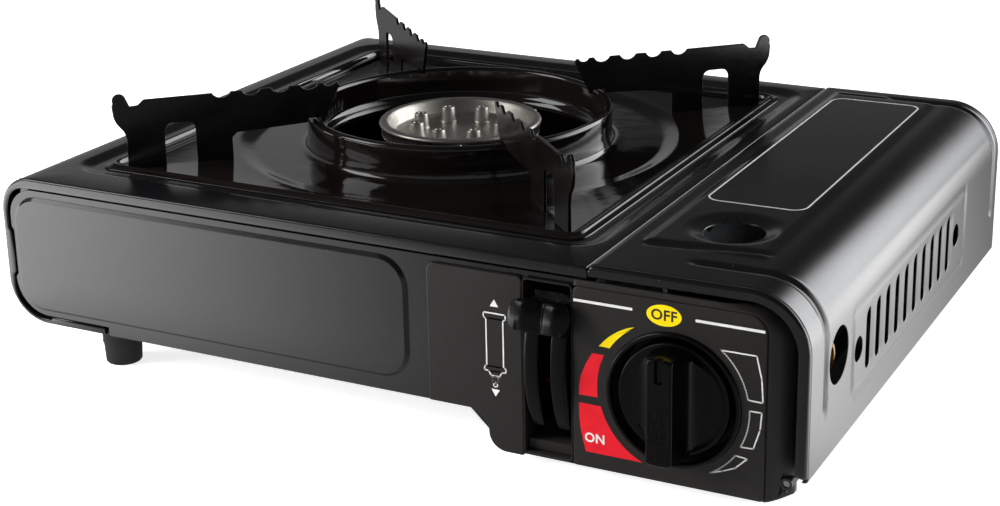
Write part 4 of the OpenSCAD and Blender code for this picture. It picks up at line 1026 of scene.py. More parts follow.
@dataclass
class DripPan:
    """Square enamelled pan: rolled rim and bead, flat corners, dish and burner collar."""

    half: float = 109.0  # half width over the rim
    corner_r: float = 7.0
    rim_z: float = 79.3
    corner_z: float = 77.2
    dish_z: float = 75.2
    dish_r: float = 97.0
    dish_slope: float = 10.5  # how far inside dish_r its slope starts
    collar_r: float = 65.5
    collar_z: float = 90.7
    bead_r: float = 1.75
    hole_r: float = 59.0  # the burner's hole
    sheet: float = 0.7
    samples: int = 432  # rays

    def round_rows(self) -> list[tuple[float, float]]:
        """Radius and height of the round rows, from the burner's hole out to the flat corners.

        They go up the hole's hem, over the collar's bead and down its wall, across the dish
        and up its slope.

        Returns:
            The rows.
        """
        hole, c, d, b = self.hole_r, self.collar_r, self.dish_z, self.bead_r
        hem = [(hole, d - 1.4), (hole, d), (hole + 0.3, d + 0.9), (hole + 1.4, d + 1.9),
               (c - 4.1, d + 3.2), (c - 3.7, d + 5)]
        bead = [(c - 1.8 - b * math.cos(a), self.collar_z - b + b * math.sin(a))
                for a in np.linspace(0, np.pi, 13)]
        wall = [(c + 0.05, d + 6), (c + 0.3, d + 2.4), (c + 0.9, d + 0.9), (c + 2.2, d + 0.15),
                (c + 4, d)]
        foot = self.dish_r - self.dish_slope
        dish = [(r, d) for r in np.linspace(c + 7, foot, 7)]
        slope = [(foot + 10 * t, d + (self.corner_z - d) * soft(t, 0, 1))
                 for t in np.linspace(0.08, 1, 12)]
        return hem + bead + wall + dish + slope

    def square_rows(self) -> list[tuple[float, float]]:
        """Half width and height of the square rows: from the flat corners up over the rim."""
        h, z, rim_z = self.half, self.corner_z, self.rim_z
        return [(h - 6.4, z), (h - 5.9, z + 0.12), (h - 5.5, z + 0.6), (h - 5.25, z + 1.4),
                (h - 4.95, rim_z + 0.1), (h - 4.5, rim_z + 0.7), (h - 3.9, rim_z + 1),
                (h - 3.3, rim_z + 0.95), (h - 2.8, rim_z + 0.6), (h - 2.4, rim_z + 0.2),
                (h - 1.9, rim_z), (h - 1.3, rim_z - 0.05), (h - 0.6, rim_z - 0.1),
                (h - 0.15, rim_z - 0.3), (h, rim_z - 0.55)]

    def build(self) -> None:
        """One grid of rays by rows: each row is a circle or a rounded square of its own size
        at its own height. The rays are crowded towards the corners."""
        t = np.linspace(0, 2 * np.pi, self.samples, endpoint=False)
        t = t - 0.09 * np.sin(4 * t)
        rows = [(r + 0 * t, z) for r, z in self.round_rows()]
        rows += [(ray(t, size, self.corner_r - (self.half - size) * 0.7), z)
                 for size, z in self.square_rows()]
        points = np.stack([pts(P.hob_x + reach * np.cos(t), P.hob_y + reach * np.sin(t), z)
                           for reach, z in rows])
        put("drip_pan_enamel", grid(points, wrap=True, flip=True), ENAMEL, "pan",
            ("drip_pan",), wall=self.sheet, sharp=60)


@dataclass
class PotArm:
    """One enamelled steel arm, stood on edge on the pan's diagonal, with a scalloped top."""

    name: str
    angle: float
    thick: float = 1.4
    edge_r: float = 0.3
    top: float = 105.6
    seat: float = 91.0  # height of the notch that sits on the collar
    foot: float = 77.15  # height of the legs' ends
    end: float = 141.4  # outer leg, from the burner's axis
    scallops: int = 4
    scallop_r: float = 4.3
    scallop_h: float = 2.3
    scallop_pitch: float = 12.2

    def outline(self) -> np.ndarray:
        """The arm's edge, anticlockwise, as distance from the burner's axis and height.

        It goes from the inner end over the collar's seat, down the inner leg, under the
        window between the legs, up the outer leg to its hook, and back along the top.

        Returns:
            The points.
        """
        top, seat, foot, end = self.top, self.seat, self.foot, self.end
        window_z, window_r = 91.3, 3.5
        parts = [np.array([[59.4, 89.4], [60.5, 89.4], [61.1, seat], [66.5, seat], [66.5, 89.2],
                           [67.9, 89.2], [96.5, 88], [98.5, 86], [98.5, foot], [113.3, foot]]),
                 arc(116.8, window_z, window_r, 180, 90, 8),
                 arc(122.5, window_z, window_r, 90, 0, 8),
                 np.array([[126, foot], [end, foot], [end, 89.8], [end + 0.4, 91.8],
                           [end + 1.2, 93.4], [144.4, 95.6], [145.4, 97.3], [146, 99.2],
                           [146.4, 103.6]]),
                 arc(143.3, top + 0.35, 2.8, -20, 160, 14), [[139.2, top - 2.4]],
                 fillet([(136, top - 2.2, 0), (133.5, top, 1.5), (108, top, 0)])]
        r, h = self.scallop_r, self.scallop_h
        reach = math.degrees(math.acos((r - h) / r))
        parts += [arc(101.9 - self.scallop_pitch * k, top - h + r, r, -90 + reach, -90 - reach, 11)
                  for k in range(self.scallops)]
        parts += [arc(56.8, top + 1.2, 2.8, -25.4, -154.6, 8),
                  [[53.6, top - 0.05], [52.8, top - 0.6], [52.4, top - 1.5]]]
        line = np.concatenate(parts)
        return line[np.r_[True, np.linalg.norm(np.diff(line, axis=0), axis=1) > 0.02]]

    def build(self) -> None:
        """The outline as a slab with rounded edges, turned to its diagonal."""
        t, e = self.thick / 2, self.edge_r
        rows = [(e * (1 - math.sin(a)), -t + e * (1 - math.cos(a)))
                for a in np.linspace(0, np.pi / 2, 4)]
        rows += [(d, -h) for d, h in rows[::-1]]
        a = math.radians(self.angle)
        arm = placed(plate(filled(self.outline(), 4.0), rows), (math.cos(a), math.sin(a), 0),
                     (0, 0, 1), (math.sin(a), -math.cos(a), 0), (P.hob_x, P.hob_y, 0))
        put(self.name + "_enamel", arm, ARM_ENAMEL, "pan", (self.name,), sharp=40,
            closed=True)


# ------------------------------------------------------------------ burner


@dataclass
class Burner:
    """Aluminium burner head: a toothed rim round a dish with hollow nozzles."""

    rim_r: float = 35.0
    rim_z: float = 84.5
    ports: int = 72
    port_deep: float = 1.1
    nozzles: int = 8
    nozzle_ring: float = 19.5
    dish: float = 6.6

    def head(self) -> Shell:
        """The head is turned from a profile whose radius dips at each port between two
        heights: r(t, h) = profile - port_deep * band(h) * (1 - step(cos(ports * t))).

        Returns:
            The shell.
        """
        r, z, d = self.rim_r, self.rim_z, self.dish
        line = resampled(fillet([
            (r - 9, z - 9.6, 0), (r - 4, z - 9.6, 0.8), (r - 2.2, z - 8.2, 0.6),
            (r - 0.9, z - 6.4, 0.3), (r - 0.7, z - 2.2, 0.2), (r, z - 1.7, 0.3),
            (r, z - 0.9, 0.5), (r - 0.8, z - 0.1, 0.5), (r - 3.2, z, 0.5),
            (r - 4.4, z - 1.4, 0.8), (r - 6.2, z - d + 1.2, 1.2), (r - 9, z - d, 2),
            (0.0, z - d, 0)], step=0.3), 84)
        t = np.linspace(0, 2 * np.pi, 600, endpoint=False)
        q, h = line[:, :1], line[:, 1:]
        band = soft(h, z - 6.2, z - 5.8) * soft(h, z - 2.3, z - 2.6) * (q > r - 4)
        teeth = soft(np.cos(self.ports * t), -0.1, 0.25)
        radius = q - self.port_deep * band * (1 - teeth)
        return grid(pts(P.hob_x + radius * np.cos(t), P.hob_y + radius * np.sin(t), h), wrap=True)

    def build(self) -> None:
        """Puts the head and its nozzles in place of the CAD head."""
        nozzle = grid(revolve(np.array([
            [3.9, -0.44], [3.5, 0.11], [3.3, 0.88], [2.9, 5.72], [2.6, 6.27], [2.2, 6.38],
            [1.5, 6.27], [1.3, 5.94], [1.3, 3.3], [0.0, 3.19]]), 28), wrap=True)
        ring = arc(P.hob_x, P.hob_y, self.nozzle_ring, 0, 360, self.nozzles + 1)[:-1]
        posts = [moved(nozzle, (x, y, self.rim_z - self.dish + 0.1)) for x, y in ring]
        put("burner_head_aluminium", join(self.head(), *posts), BURNER,
            stands_for=("burner_head",), sharp=45)


# ------------------------------------------------------------------ controls


def on_panel(loop: np.ndarray, rows: list[tuple[float, float]], back: bool = True) -> Shell:
    """A plate stood on the panel's field, with its rows' heights measured from the field."""
    return to_front(plate(loop, rows, back), P.field_y)


@dataclass
class Panel:
    """Front panel: field, embossed rectangle, two raised plates, lever's slot and bevel."""

    slot: tuple[float, float, float, float] = (65.2, 6.1, 83.6, 72.4)  # left, low, right, top
    plate_low: float = 4.6
    plate_top: float = 73.0
    plate_gap: float = 0.6
    plate_r: float = 0.7
    step_x: float = 59.0  # the field's right end, behind the lever's plate
    left_w: float = 38.8  # width of the lever's plate
    left_low: float = 3.9
    knee: tuple[float, float, float] = (42.3, 11.0, 7.9)  # x, z and radius of the bends where
    heel: tuple[float, float, float] = (57.3, 11.0, 7.1)  # the left plate's edge steps down
    field_left: float = -167.0
    field_top: float = 75.1
    field_low: float = 18.6
    bevel_x: float = 156.3
    bevel_end: float = 164.8
    bevel_top: float = 75.0
    bevel_r: float = 13.0
    emboss_r: float = 12.0
    emboss_corners: tuple[float, float, float, float] = (-164.8, 24.3, 17.2, 72.6)  # as slot
    well_r: float = 23.2
    well_floor: float = -8.4
    spindle_r: float = 9.6  # hole in the well's floor
    lift: float = 1.6  # from the field to the raised plates' face

    def field_loop(self) -> np.ndarray:
        """Outline of the painted field behind the cover's flange on the burner side."""
        x, low, x1, top = self.field_left, self.field_low, self.step_x, self.field_top
        return fillet([(x, 22.1, 14.8), (-122, 22.1, 0), (-122, low, 0.5), (40, low, 0),
                       (x1, low, 0), (x1, top, 0), (x, top, 11.8), (x, 58.6, 0.5),
                       (x + 1.1, 57, 0.5), (x + 1.1, 38.6, 0.5), (x, 37.2, 0)], True, 1)

    def left_loop(self) -> np.ndarray:
        """Outline of the lever's plate, whose lower edge steps down between the two floors.

        Returns:
            The points.
        """
        x1 = self.slot[0] - self.plate_gap
        x0, top = x1 - self.left_w, self.plate_top
        low, high = self.left_low, self.knee[1] + self.knee[2]
        return np.concatenate([
            [[x0, high], [x0 + 8, high]], arc(*self.knee, 90, 0, 10),
            arc(*self.heel, 180, 270, 10)[1:],
            fillet([(58, low, 0), (x1, low, 1.0), (x1, top, 2.0), (x0, top, 3),
                    (x0, high + 0.6, 0)], step=0.4)])

    def edge(self) -> list[tuple[float, float]]:
        """Rows of a raised plate's edge: up from the field, then a quarter round."""
        r, top = self.plate_r, self.lift
        return [(0.0, 0.0), (0.0, top - r)] + [
            (r * (1 - math.cos(a)), top - r * (1 - math.sin(a)))
            for a in np.linspace(0.2, np.pi / 2, 5)]

    def knob_plate(self) -> Shell:
        """The knob's plate: rows from its edge inwards, then a ring whose points slide from
        the edge to the knob's well along rays from the knob's axis, then the well's wall and
        floor.

        Returns:
            The shell.
        """
        x0, low, x1, top = (self.slot[2] + self.plate_gap, self.plate_low, self.bevel_x,
                            self.plate_top)
        loop = filled(fillet([(x0, low, 1.2), (x1, low, 1.5), (x1, top, 7), (x0, top, 2.5)],
                             True, 0.4), 1.5)
        rows = [pts(*inset(loop, d).T, h) for d, h in self.edge()]
        middle = np.array([P.knob_x, P.knob_z])
        away = unit(rows[-1][:, :2] - middle)
        well, floor = self.well_r, self.well_floor
        for r, h in ((well + 2.0, self.lift), (well + 0.3, self.lift), (well, self.lift - 0.4),
                     (well, floor + 0.5), (well - 0.5, floor), (self.spindle_r, floor)):
            rows.append(pts(*(middle + away * r).T, h))
        return to_front(grid(np.stack(rows), wrap=True), P.field_y)

    def corner(self, x: float, low: float, top: float, r: float) -> np.ndarray:
        """150 points up a right edge, round a corner and left along a top to the slot."""
        return resampled(fillet([(x, low, 0), (x, top, r), (84.5, top, 0)], step=0.4), 150)

    def bevel(self) -> Shell:
        """A band lofted between the plate's right and upper edge and the panel's rounded outer
        corner, deeper at the side than on top, with a last row straight back.

        Returns:
            The shell.
        """
        inner = self.corner(self.bevel_x, self.plate_low, self.plate_top, 7)
        outer = self.corner(self.bevel_end, 6.7, self.bevel_top, self.bevel_r)
        low = self.corner(self.bevel_end, 6.6, self.bevel_top, self.bevel_r)
        side = soft(outer[:, 0], 140, 158)
        rows = []
        for t in np.linspace(0, 1, 9):
            x, z = (inner * (1 - t) + outer * t).T
            bend = 1 - np.cos(t * np.pi / 2)
            rows.append(pts(x, P.front - 0.6 + bend * (0.9 + 5.9 * side), z))
        back = (P.front + 9.0) * side + (P.front + 1.4) * (1 - side)
        rows.append(pts(low[:, 0], back, low[:, 1]))
        return grid(np.stack(rows), flip=True)

    def slot_frame(self) -> Shell:
        """The slot's frame: a rounded rectangular lip that turns into walls, and the shelf at
        its foot.

        Returns:
            The shell.
        """
        x0, z0, x1, z1 = self.slot
        loop = filled(fillet([(x0, z0, 1), (x1, z0, 1), (x1, z1, 1.2), (x0, z1, 1.2)], True,
                             0.3), 3)
        top = self.lift
        rows = [(-0.62, 0.3), (-0.62, top - 0.3), (-0.4, top - 0.05), (-0.2, top - 0.05),
                (0.0, top - 0.3), (0.0, 0.0), (0.05, -7.2)]
        walls = on_panel(loop, rows, back=False)
        walls.caps = []
        shelf = filled(rect(x0 + 0.1, z0 + 0.1, x1 - 0.1, z0 + 4.3), 3)
        return join(walls, on_panel(shelf, [(0, -7), (0, -1.6), (0.25, -1.3)]))

    def emboss(self) -> Shell:
        """Embossed rectangle: a fine groove, then a slope of 47 degrees up to its flat."""
        loop = filled(rect(*self.emboss_corners, self.emboss_r, step=0.6), 6)
        return on_panel(loop, [(-0.3, -0.1), (0.1, 0.1), (1.3, 1.4), (1.45, 1.44)])

    def bezel(self) -> Shell:
        """The ring round the knob's well, turned from a half-round profile.

        Returns:
            The shell.
        """
        r = self.well_r
        ring = np.array([[r, -3.3], [r, 0.2], [r + 0.15, 0.8], [r + 0.5, 1.15], [r + 1.0, 1.25],
                         [r + 1.5, 1.1], [r + 1.9, 0.6], [r + 2.1, 0.0], [r + 2.2, -0.9],
                         [r + 2.2, -1.5]])
        turned = grid(revolve(ring, 160), wrap=True, flip=True)
        return placed(turned, (1, 0, 0), (0, 0, 1), (0, -1, 0), (P.knob_x, P.plate_y, P.knob_z))

    def build(self) -> None:
        """Puts the panel's layers in place of the CAD panel and bezel."""
        field_plate = on_panel(self.field_loop(), [(0, -0.9), (0, -0.1), (0.1, 0.0)])
        behind = on_panel(fillet([
            (-162, 24, 8), (40, 19.5, 0), (50, 10, 4), (57, 4.2, 6), (60, 4.2, 0), (60, 74, 0),
            (-162, 74, 8)], True, 1), [(0, -1.5), (0, -0.9)])
        rails = [on_panel(rect(*corners), [(0, low), (0, high)])
                 for corners, low, high in (((-163, 72.6, 88.4, 78.6), -3.3, -2.8),
                                            ((56, 72.5, 84.4, self.field_top), -1.6, -0.2))]
        left = on_panel(filled(self.left_loop(), 3), self.edge())
        put("front_field", join(field_plate, behind, *rails), PAINT,
            stands_for=("front_panel",), sharp=40)
        put("front_emboss", self.emboss(), PAINT, sharp=20)
        for name, shell, wall, sharp in (
                ("lever_plate", left, 0, 60), ("knob_plate", self.knob_plate(), 0, 45),
                ("panel_bevel", self.bevel(), 0.6, 60),
                ("lever_slot_frame", self.slot_frame(), 0, 45)):
            put(name, shell, PANEL, wall=wall, sharp=sharp)
        put("knob_bezel_ring", self.bezel(), PLASTIC,
            stands_for=("knob_bezel",), sharp=50)


@dataclass
class Knob:
    """Turning knob: a dished disc, a bar grip that flares into it, a pointer and a flame."""

    radius: float = 21.0
    face: float = P.front - 1.4
    reach: float = P.knob_y
    crown: float = 0.36  # how far its face lies behind reach, for the marks that stand on it
    grip_w: float = 10.0
    grip_gap: float = 1.0  # from the grip's ends to the disc's edge
    grip_waist: float = 2.4  # how much shorter its flares are
    flare: float = 7.0  # radius of the flares
    draft: float = 1.3  # how much wider the grip is over them, a side
    edge_r: float = 1.2
    end_r: float = 1.4
    pointer_w: float = 1.5  # half width of its groove
    pointer_low: float = 11.0  # height over the knob's axis where it starts
    pointer_deep: float = 1.3

    def disc(self) -> Shell:
        """Disc turned from a profile with a rounded edge; its heights run towards the user.

        Returns:
            The shell.
        """
        r = self.radius
        line = np.array([[4.0, -7.5], [r - 2.0, -7.5], [r - 0.3, -7.4], [r, -7.0], [r, -0.9],
                         [r - 0.1, -0.45], [r - 0.45, -0.1], [r - 0.9, 0.0], [r - 1.6, -0.05],
                         [r - 2.2, -0.3], [r - 3.4, -0.35], [0.0, -0.3]])
        return placed(grid(revolve(line, 144), wrap=True), (1, 0, 0), (0, 0, 1), (0, -1, 0),
                      (P.knob_x, self.face, P.knob_z))

    def grip(self) -> Shell:
        """Grip: a section x(u), y(u) carried up and down, with z = v * sqrt(R^2 - x^2) so that
        its ends lie on the disc's cylinder, and rounded towards them: near v = 1 the section's
        reach shrinks on a quarter circle. The pointer's groove is open at the top end.

        Returns:
            The shell.
        """
        half, full, r = self.grip_w / 2, self.face - self.reach, self.edge_r
        left = np.concatenate([
            arc(-half - self.draft - self.flare, self.flare, self.flare, -90, 0, 14),
            [[-half + 0.05, full - 1.6]], arc(-half + 1.25, full - r, r, 180, 90, 6)])
        flat = pts(np.linspace(-half + 1.6, half - 1.6, 26), full)
        section = np.concatenate([left, flat, (left * [-1, 1])[::-1]])
        phi = np.linspace(0, np.pi / 2, 6)[1:]
        middle = np.zeros(90)
        shrink = np.concatenate([(1 - np.cos(phi))[::-1], middle, 1 - np.cos(phi)]) * self.end_r
        size = (self.radius - self.grip_gap - self.end_r
                + self.end_r * np.concatenate([np.sin(phi)[::-1], middle, np.sin(phi)]))
        v = np.concatenate([-np.ones(5), np.linspace(-1, 1, 90), np.ones(5)])[:, None]
        x, high = section[None, :, 0] + 0 * v, section[None, :, 1]
        y = np.maximum(high - shrink[:, None] * (high > 3), 0)
        ends = size[:, None] - self.grip_waist * soft(np.abs(x), half + self.draft, half + 4)
        z = v * np.sqrt(ends ** 2 - x ** 2)
        wide, low = self.pointer_w, self.pointer_low
        groove = soft(np.abs(x), wide, wide - 0.5) * soft(z, low, low + 0.6) * (y > full - 2.2)
        y = y - self.pointer_deep * groove - self.crown
        points = pts(P.knob_x + x, self.face - y, P.knob_z + z)
        made = [grid(points)]
        for k in (0, -1):
            base = pts(points[k][:, 0], self.face, points[k][:, 2])
            rows = [base, (base * 2 + points[k]) / 3, (base + points[k] * 2) / 3, points[k]]
            made.append(grid(np.stack(rows), flip=k < 0))
        return join(*made)

    def marks(self) -> Shell:
        """Raised lines on the grip: a small frame, and a flame whose half width at height t is
        w sin(pi t^0.62), narrowed by 0.15 t and leaning from side to side.

        Returns:
            The shell.
        """
        high, low = 9.4, -9.0
        t = np.linspace(0, 1, 30)
        width = 2.2 * np.sin(np.pi * t ** 0.62) * (1 - 0.15 * t)
        lean = 0.55 * np.sin(2.4 * np.pi * t) * t
        flame = np.concatenate([pts(lean - width, low + high * t),
                                pts(lean + width, low + high * t)[-2:0:-1]])
        lines = ((flame, 0.34), (flame * [0.45, 0.5] + [0.1, -4.2], 0.28),
                 (filled(rect(-3.6, -10.6, 3.6, 2.2, 0.6), 2), 0.24))
        return join(*(wire(pts(P.knob_x + line[:, 0], self.reach + self.crown,
                               P.knob_z + line[:, 1]), r) for line, r in lines))

    def build(self) -> None:
        """Puts the knob in place of the CAD knob."""
        put("knob_disc", self.disc(), PLASTIC, "knob", ("knob",), sharp=45)
        put("knob_grip", self.grip(), PLASTIC, "knob", sharp=45)
        put("knob_marks", self.marks(), PLASTIC, "knob")


@dataclass
class Lever:
    """Cartridge lever: a two-lobed thumb piece that slides over a curved guide with a slit."""

    x: float = LEVER_AXIS[0]
    pivot_y: float = LEVER_AXIS[1]
    pivot_z: float = LEVER_AXIS[2]
    guide_r: float = 56.0
    guide_reach: float = 26.0  # degrees above and below the pivot's level
    bands: tuple[tuple[float, float], ...] = ((65.9, 72.0), (76.8, 82.9))  # along X
    rest: float = 19.3  # degrees that the thumb piece is above the pivot's level
    width: float = 24.2
    high: float = 11.6
    shift: float = -0.8  # from the lever's plane to the thumb piece's middle
    # height, place and width of each swell across the thumb piece
    swells: tuple[tuple[float, ...], ...] = ((1.35, -5.6, 3.9), (1.35, 6.8, 3.3), (-0.9, 1.2, 1.1))
    wings: tuple[float, float] = (-7.4, 8.8)  # past these its back is cut clear of the slot
    wing_cut: float = 3.2

    def guide(self) -> Shell:
        """Two curved bands either side of the slit, a rounded section in X and radius turned
        about the pivot, and above them a black screen across the slot's top. The screen is painted
        shade: a dark sheet that stands in for the shade inside the slot.

        Returns:
            The shell.
        """
        made = []
        a = np.radians(np.linspace(-self.guide_reach, self.guide_reach, 60))[:, None]
        r = self.guide_r
        for x0, x1 in self.bands:
            line = fillet([(x0, r - 5, 0), (x0, r, 1.6), (x1, r, 0.7), (x1, r - 6, 0),
                           (x1 - 0.8, r - 6, 0), (x1 - 0.8, r - 1.2, 0), (x0 + 0.8, r - 1.2, 0),
                           (x0 + 0.8, r - 5, 0)], True, 0.3)
            if x0 > self.x:
                line = (line * [-1, 1] + [x0 + x1, 0])[::-1]
            x, q = line.T
            points = pts(x, self.pivot_y - q * np.cos(a), self.pivot_z + q * np.sin(a))
            made.append(ended(grid(points, wrap=True), len(line), flip=True))
        # a black screen across the slot's top, painted shade that stands in for the dark inside
        # the slot
        screen = filled(rect(65.3, 66.3, 83.5, 72.3), 3)
        return join(*made, on_panel(screen, [(0, -6.8), (0, -5.9)]))

    def thumb(self) -> Shell:
        """Thumb piece: across x, its reach is the sum of two rounded lobes with a fold between
        them, and its section in reach and height is a superellipse that tightens towards both
        ends. Its wings stay clear of the slot's edges.

        Returns:
            The shell.
        """
        half = self.width / 2
        x = half * np.sin(np.linspace(-1, 1, 71) * np.pi / 2)[:, None]
        ends = np.sqrt(np.clip(1 - np.abs(x / half) ** 7, 0, 1))
        reach = 3.0
        for swell, middle, wide in self.swells:
            reach = reach + swell * np.exp(-((x - middle) / wide) ** 2)
        t = np.linspace(0, 2 * np.pi, 56, endpoint=False)
        c, s = np.cos(t), np.sin(t)
        bulge_r, bulge_z = np.sign(c) * np.abs(c) ** 0.55, np.sign(s) * np.abs(s) ** 0.5
        left, right = self.wings
        cut = soft(x, left, left - 0.8) + soft(x, right, right + 1)
        inner = self.guide_r + 0.5 + self.wing_cut * cut
        outer = self.guide_r + 3.7 + reach
        low = 1 - 0.28 * soft(bulge_z, -0.1, -1.0) * soft(bulge_r, 0.2, 1)
        q = (outer + inner) / 2 + (outer - inner) / 2 * ends * bulge_r * low
        z = (self.high / 2) * ends * bulge_z
        a = math.radians(self.rest)
        points = pts(x + self.x + self.shift, self.pivot_y - q * math.cos(a) + z * math.sin(a),
                     self.pivot_z + q * math.sin(a) + z * math.cos(a))
        return ended(grid(points, wrap=True), len(t))

    def neck(self) -> Shell:
        """Neck between the guide and the thumb piece: a rounded block whose inner face follows
        the guide.

        Returns:
            The shell.
        """
        loop = filled(rect(-8.6, -6.1, 8.6, 6.1, 1), 2)
        inner = self.guide_r + 0.35
        rows = [pts(*loop.T, np.sqrt(inner ** 2 - loop[:, 1] ** 2))]
        rows += [pts(*inset(loop, d).T, inner + q)
                 for d, q in ((0.0, 3.25), (0.3, 4.05), (1.0, 4.45))]
        shell = ended(grid(np.stack(rows), wrap=True), len(loop))
        a = math.radians(self.rest)
        return placed(shell, (1, 0, 0), (0, math.sin(a), math.cos(a)),
                      (0, -math.cos(a), math.sin(a)), (self.x, self.pivot_y, self.pivot_z))

    def build(self) -> None:
        """Puts the guide and the thumb piece in place of the CAD ones."""
        put("lever_guide_bands", self.guide(), PLASTIC,
            stands_for=("lever_guide",), sharp=50, closed=True)
        put("lever_thumb", self.thumb(), PLASTIC, "lever", ("lever_grip",),
            sharp=60, closed=True)
        put("lever_neck", self.neck(), PLASTIC, "lever", sharp=50,
            closed=True)


@dataclass
class Print:
    """Screen print on the two plates: generic marks, and the words ON and OFF."""

    film: float = 0.05
    pen: float = 0.5
    thin_pen: float = 0.45
    letter_film: float = 0.08
    red_r: float = 28.3  # from the knob's axis, as yellow_r is
    yellow_r: float = 28.4
    yellow_w: float = 3.6  # of the crescent's lower end
    oval: tuple[float, float, float, float] = (119.0, 67.6, 6.5, 3.9)  # middle and half sizes
    off_at: tuple[float, float] = (119.0, 67.5)
    on_at: tuple[float, float] = (92.9, 16.4)
    symbol_x: float = 53.5  # axis of the lever's cartridge symbol

    def inked(self, name: str, loops: list[np.ndarray], ink: Finish) -> None:
        """Puts flat films of ink on the plates as one piece.

        Args:
            name: the piece's name.
            loops: outline of each film.
            ink: what it is printed in.
        """
        films = [to_front(plate(loop, [(0, -0.02), (0, self.film)], back=False), P.plate_y)
                 for loop in loops]
        put(name, join(*films), ink, sharp=30)

    def framed(self, loop: np.ndarray, width: float | None = None) -> list[np.ndarray]:
        """A closed anticlockwise outline drawn as one stroke a side, each run on by half the
        pen's width, down its right and back along its left.

        Args:
            loop: the outline's corners.
            width: the pen's width, where it isn't the usual one.

        Returns:
            Outline of each stroke.
        """
        half = (width or self.pen) / 2
        made = []
        for a, b in zip(loop, np.roll(loop, -1, axis=0)):
            along = (b - a) / max(np.linalg.norm(b - a), 1e-6) * half
            across = np.array([along[1], -along[0]])
            a, b = a - along, b + along
            made.append(np.array([a + across, b + across, b - across, a - across]))
        return made

    def red(self) -> list[np.ndarray]:
        """The two red fields left of the knob: a bent outer edge and an arc round the knob."""
        x, z, r = P.knob_x, P.knob_z, self.red_r
        return [np.concatenate([
            [[91.9, 49.1], [89.4, 44.6], [87.6, 39.9], [86.9, 36.2], [86.8, 32.5]],
            arc(x, z, r + 0.5, 188.4, 154.8, 20)]), np.concatenate([
                [[86.8, 29.4], [86.9, 24.0], [87.5, 18.7], [89.4, 10.9]],
                arc(x, z, r, 246.7, 195.2, 24)])]

    def yellow(self) -> list[np.ndarray]:
        """The yellow crescent, widest at its lower end, and the oval behind OFF.

        Returns:
            The two outlines.
        """
        a = np.radians(np.linspace(119.7, 151.2, 20))
        r = self.yellow_r + self.yellow_w * np.linspace(0, 1, 20) ** 0.8
        crescent = np.concatenate([pts(P.knob_x + r * np.cos(a), P.knob_z + r * np.sin(a)),
                                   arc(P.knob_x, P.knob_z, self.yellow_r, 147.5, 119.7, 20)])
        t = np.linspace(0, 2 * np.pi, 48, endpoint=False)
        x, z, half_w, half_h = self.oval
        return [crescent, pts(x + half_w * np.cos(t), z + half_h * np.sin(t))]

    def white(self) -> list[np.ndarray]:
        """The two bars by OFF, the three frames right of the knob that shrink downwards, and
        the lever's symbol: a cartridge with its valve between two arrow heads.

        Returns:
            The outlines.
        """
        made = [rect(84.8, 67.5, 107.2, 68.5), rect(130.6, 67.2, 155.6, 68.2)]
        for r, a0, a1, n, side in (
                (27.9, 10.8, 51.2, 20, [[152.8, 58.6], [154.8, 50.3], [155.4, 41.9]]),
                (28.1, -26.8, 2.7, 14, [[155.1, 38.2], [154.6, 31.7], [152.3, 24.3]]),
                (28.4, -60.0, -34.8, 14, [[150.2, 20.1], [145.9, 15.8], [141.4, 13.8]])):
            made += self.framed(np.concatenate([arc(P.knob_x, P.knob_z, r, a0, a1, n), side]))
        x, arrow_w, can_w = self.symbol_x, 1.7, 3.4
        made += [np.array([[x - arrow_w, 60.2], [x + arrow_w, 60.2], [x, 63.0]]),
                 np.array([[x, 25.4], [x + arrow_w, 28.2], [x - arrow_w, 28.2]])]
        for half, low, high in ((can_w, 37.0, 55.5), (can_w + 1, 55.5, 57.6),
                                (can_w + 0.9, 35.2, 37.0)):
            made += self.framed(rect(x - half, low, x + half, high))
        made += self.framed(np.array([[x - can_w + 1.6, 33.4], [x + can_w - 1.6, 33.4],
                                      [x + can_w - 0.8, 35.2], [x - can_w + 0.8, 35.2]]))
        made += self.framed(arc(x, 32.0, 1.3, -90, 270, 21)[:-1], self.thin_pen)
        return made + self.framed(rect(x - 0.8, 29.2, x + 0.8, 30.6), self.thin_pen)

    def word(self, name: str, text: str, size: float, middle: tuple[float, float],
             ink: Finish) -> None:
        """A word in Blender's own sans letters, made a mesh and stood on the plate.

        Args:
            name: the piece's name.
            text: the word.
            size: its letters' size.
            middle: its middle's X and Z.
            ink: what it is printed in.
        """
        curve = bpy.data.curves.new(name, "FONT")
        curve.body, curve.size = text, size * MM
        curve.align_x, curve.align_y = "CENTER", "CENTER"
        curve.extrude, curve.offset = 0.02 * MM, 0.12 * MM
        curve.space_character, curve.resolution_u = 1.05, 4
        made = linked(name, curve)
        bpy.context.view_layer.update()
        mesh = bpy.data.meshes.new_from_object(made)
        bpy.data.objects.remove(made)
        bpy.data.curves.remove(curve)
        x, z = middle
        at = Matrix.Translation((x * MM, (P.plate_y - self.letter_film) * MM, z * MM))
        mesh.transform(at @ Matrix.Rotation(np.pi / 2, 4, "X"))
        mesh.materials.clear()
        mesh.materials.append(ink.made())
        piece = linked(name, mesh)
        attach(piece, "base")
        log.info("%s: word of %d faces", name, len(mesh.polygons))

    def build(self) -> None:
        """Lays every film on its plate."""
        self.inked("print_red", self.red(), RED_INK)
        self.inked("print_yellow", self.yellow(), YELLOW_INK)
        self.inked("print_white", self.white(), WHITE_INK)
        self.word("print_off", "OFF", 5.4, self.off_at, DARK_INK)
        self.word("print_on", "ON", 4.9, self.on_at, WHITE_INK)


# ------------------------------------------------------------------ feet


FOOT_IN = {"left": 41.0, "right": 26.0, "ends": 18.0}  # from the casing's sides and ends


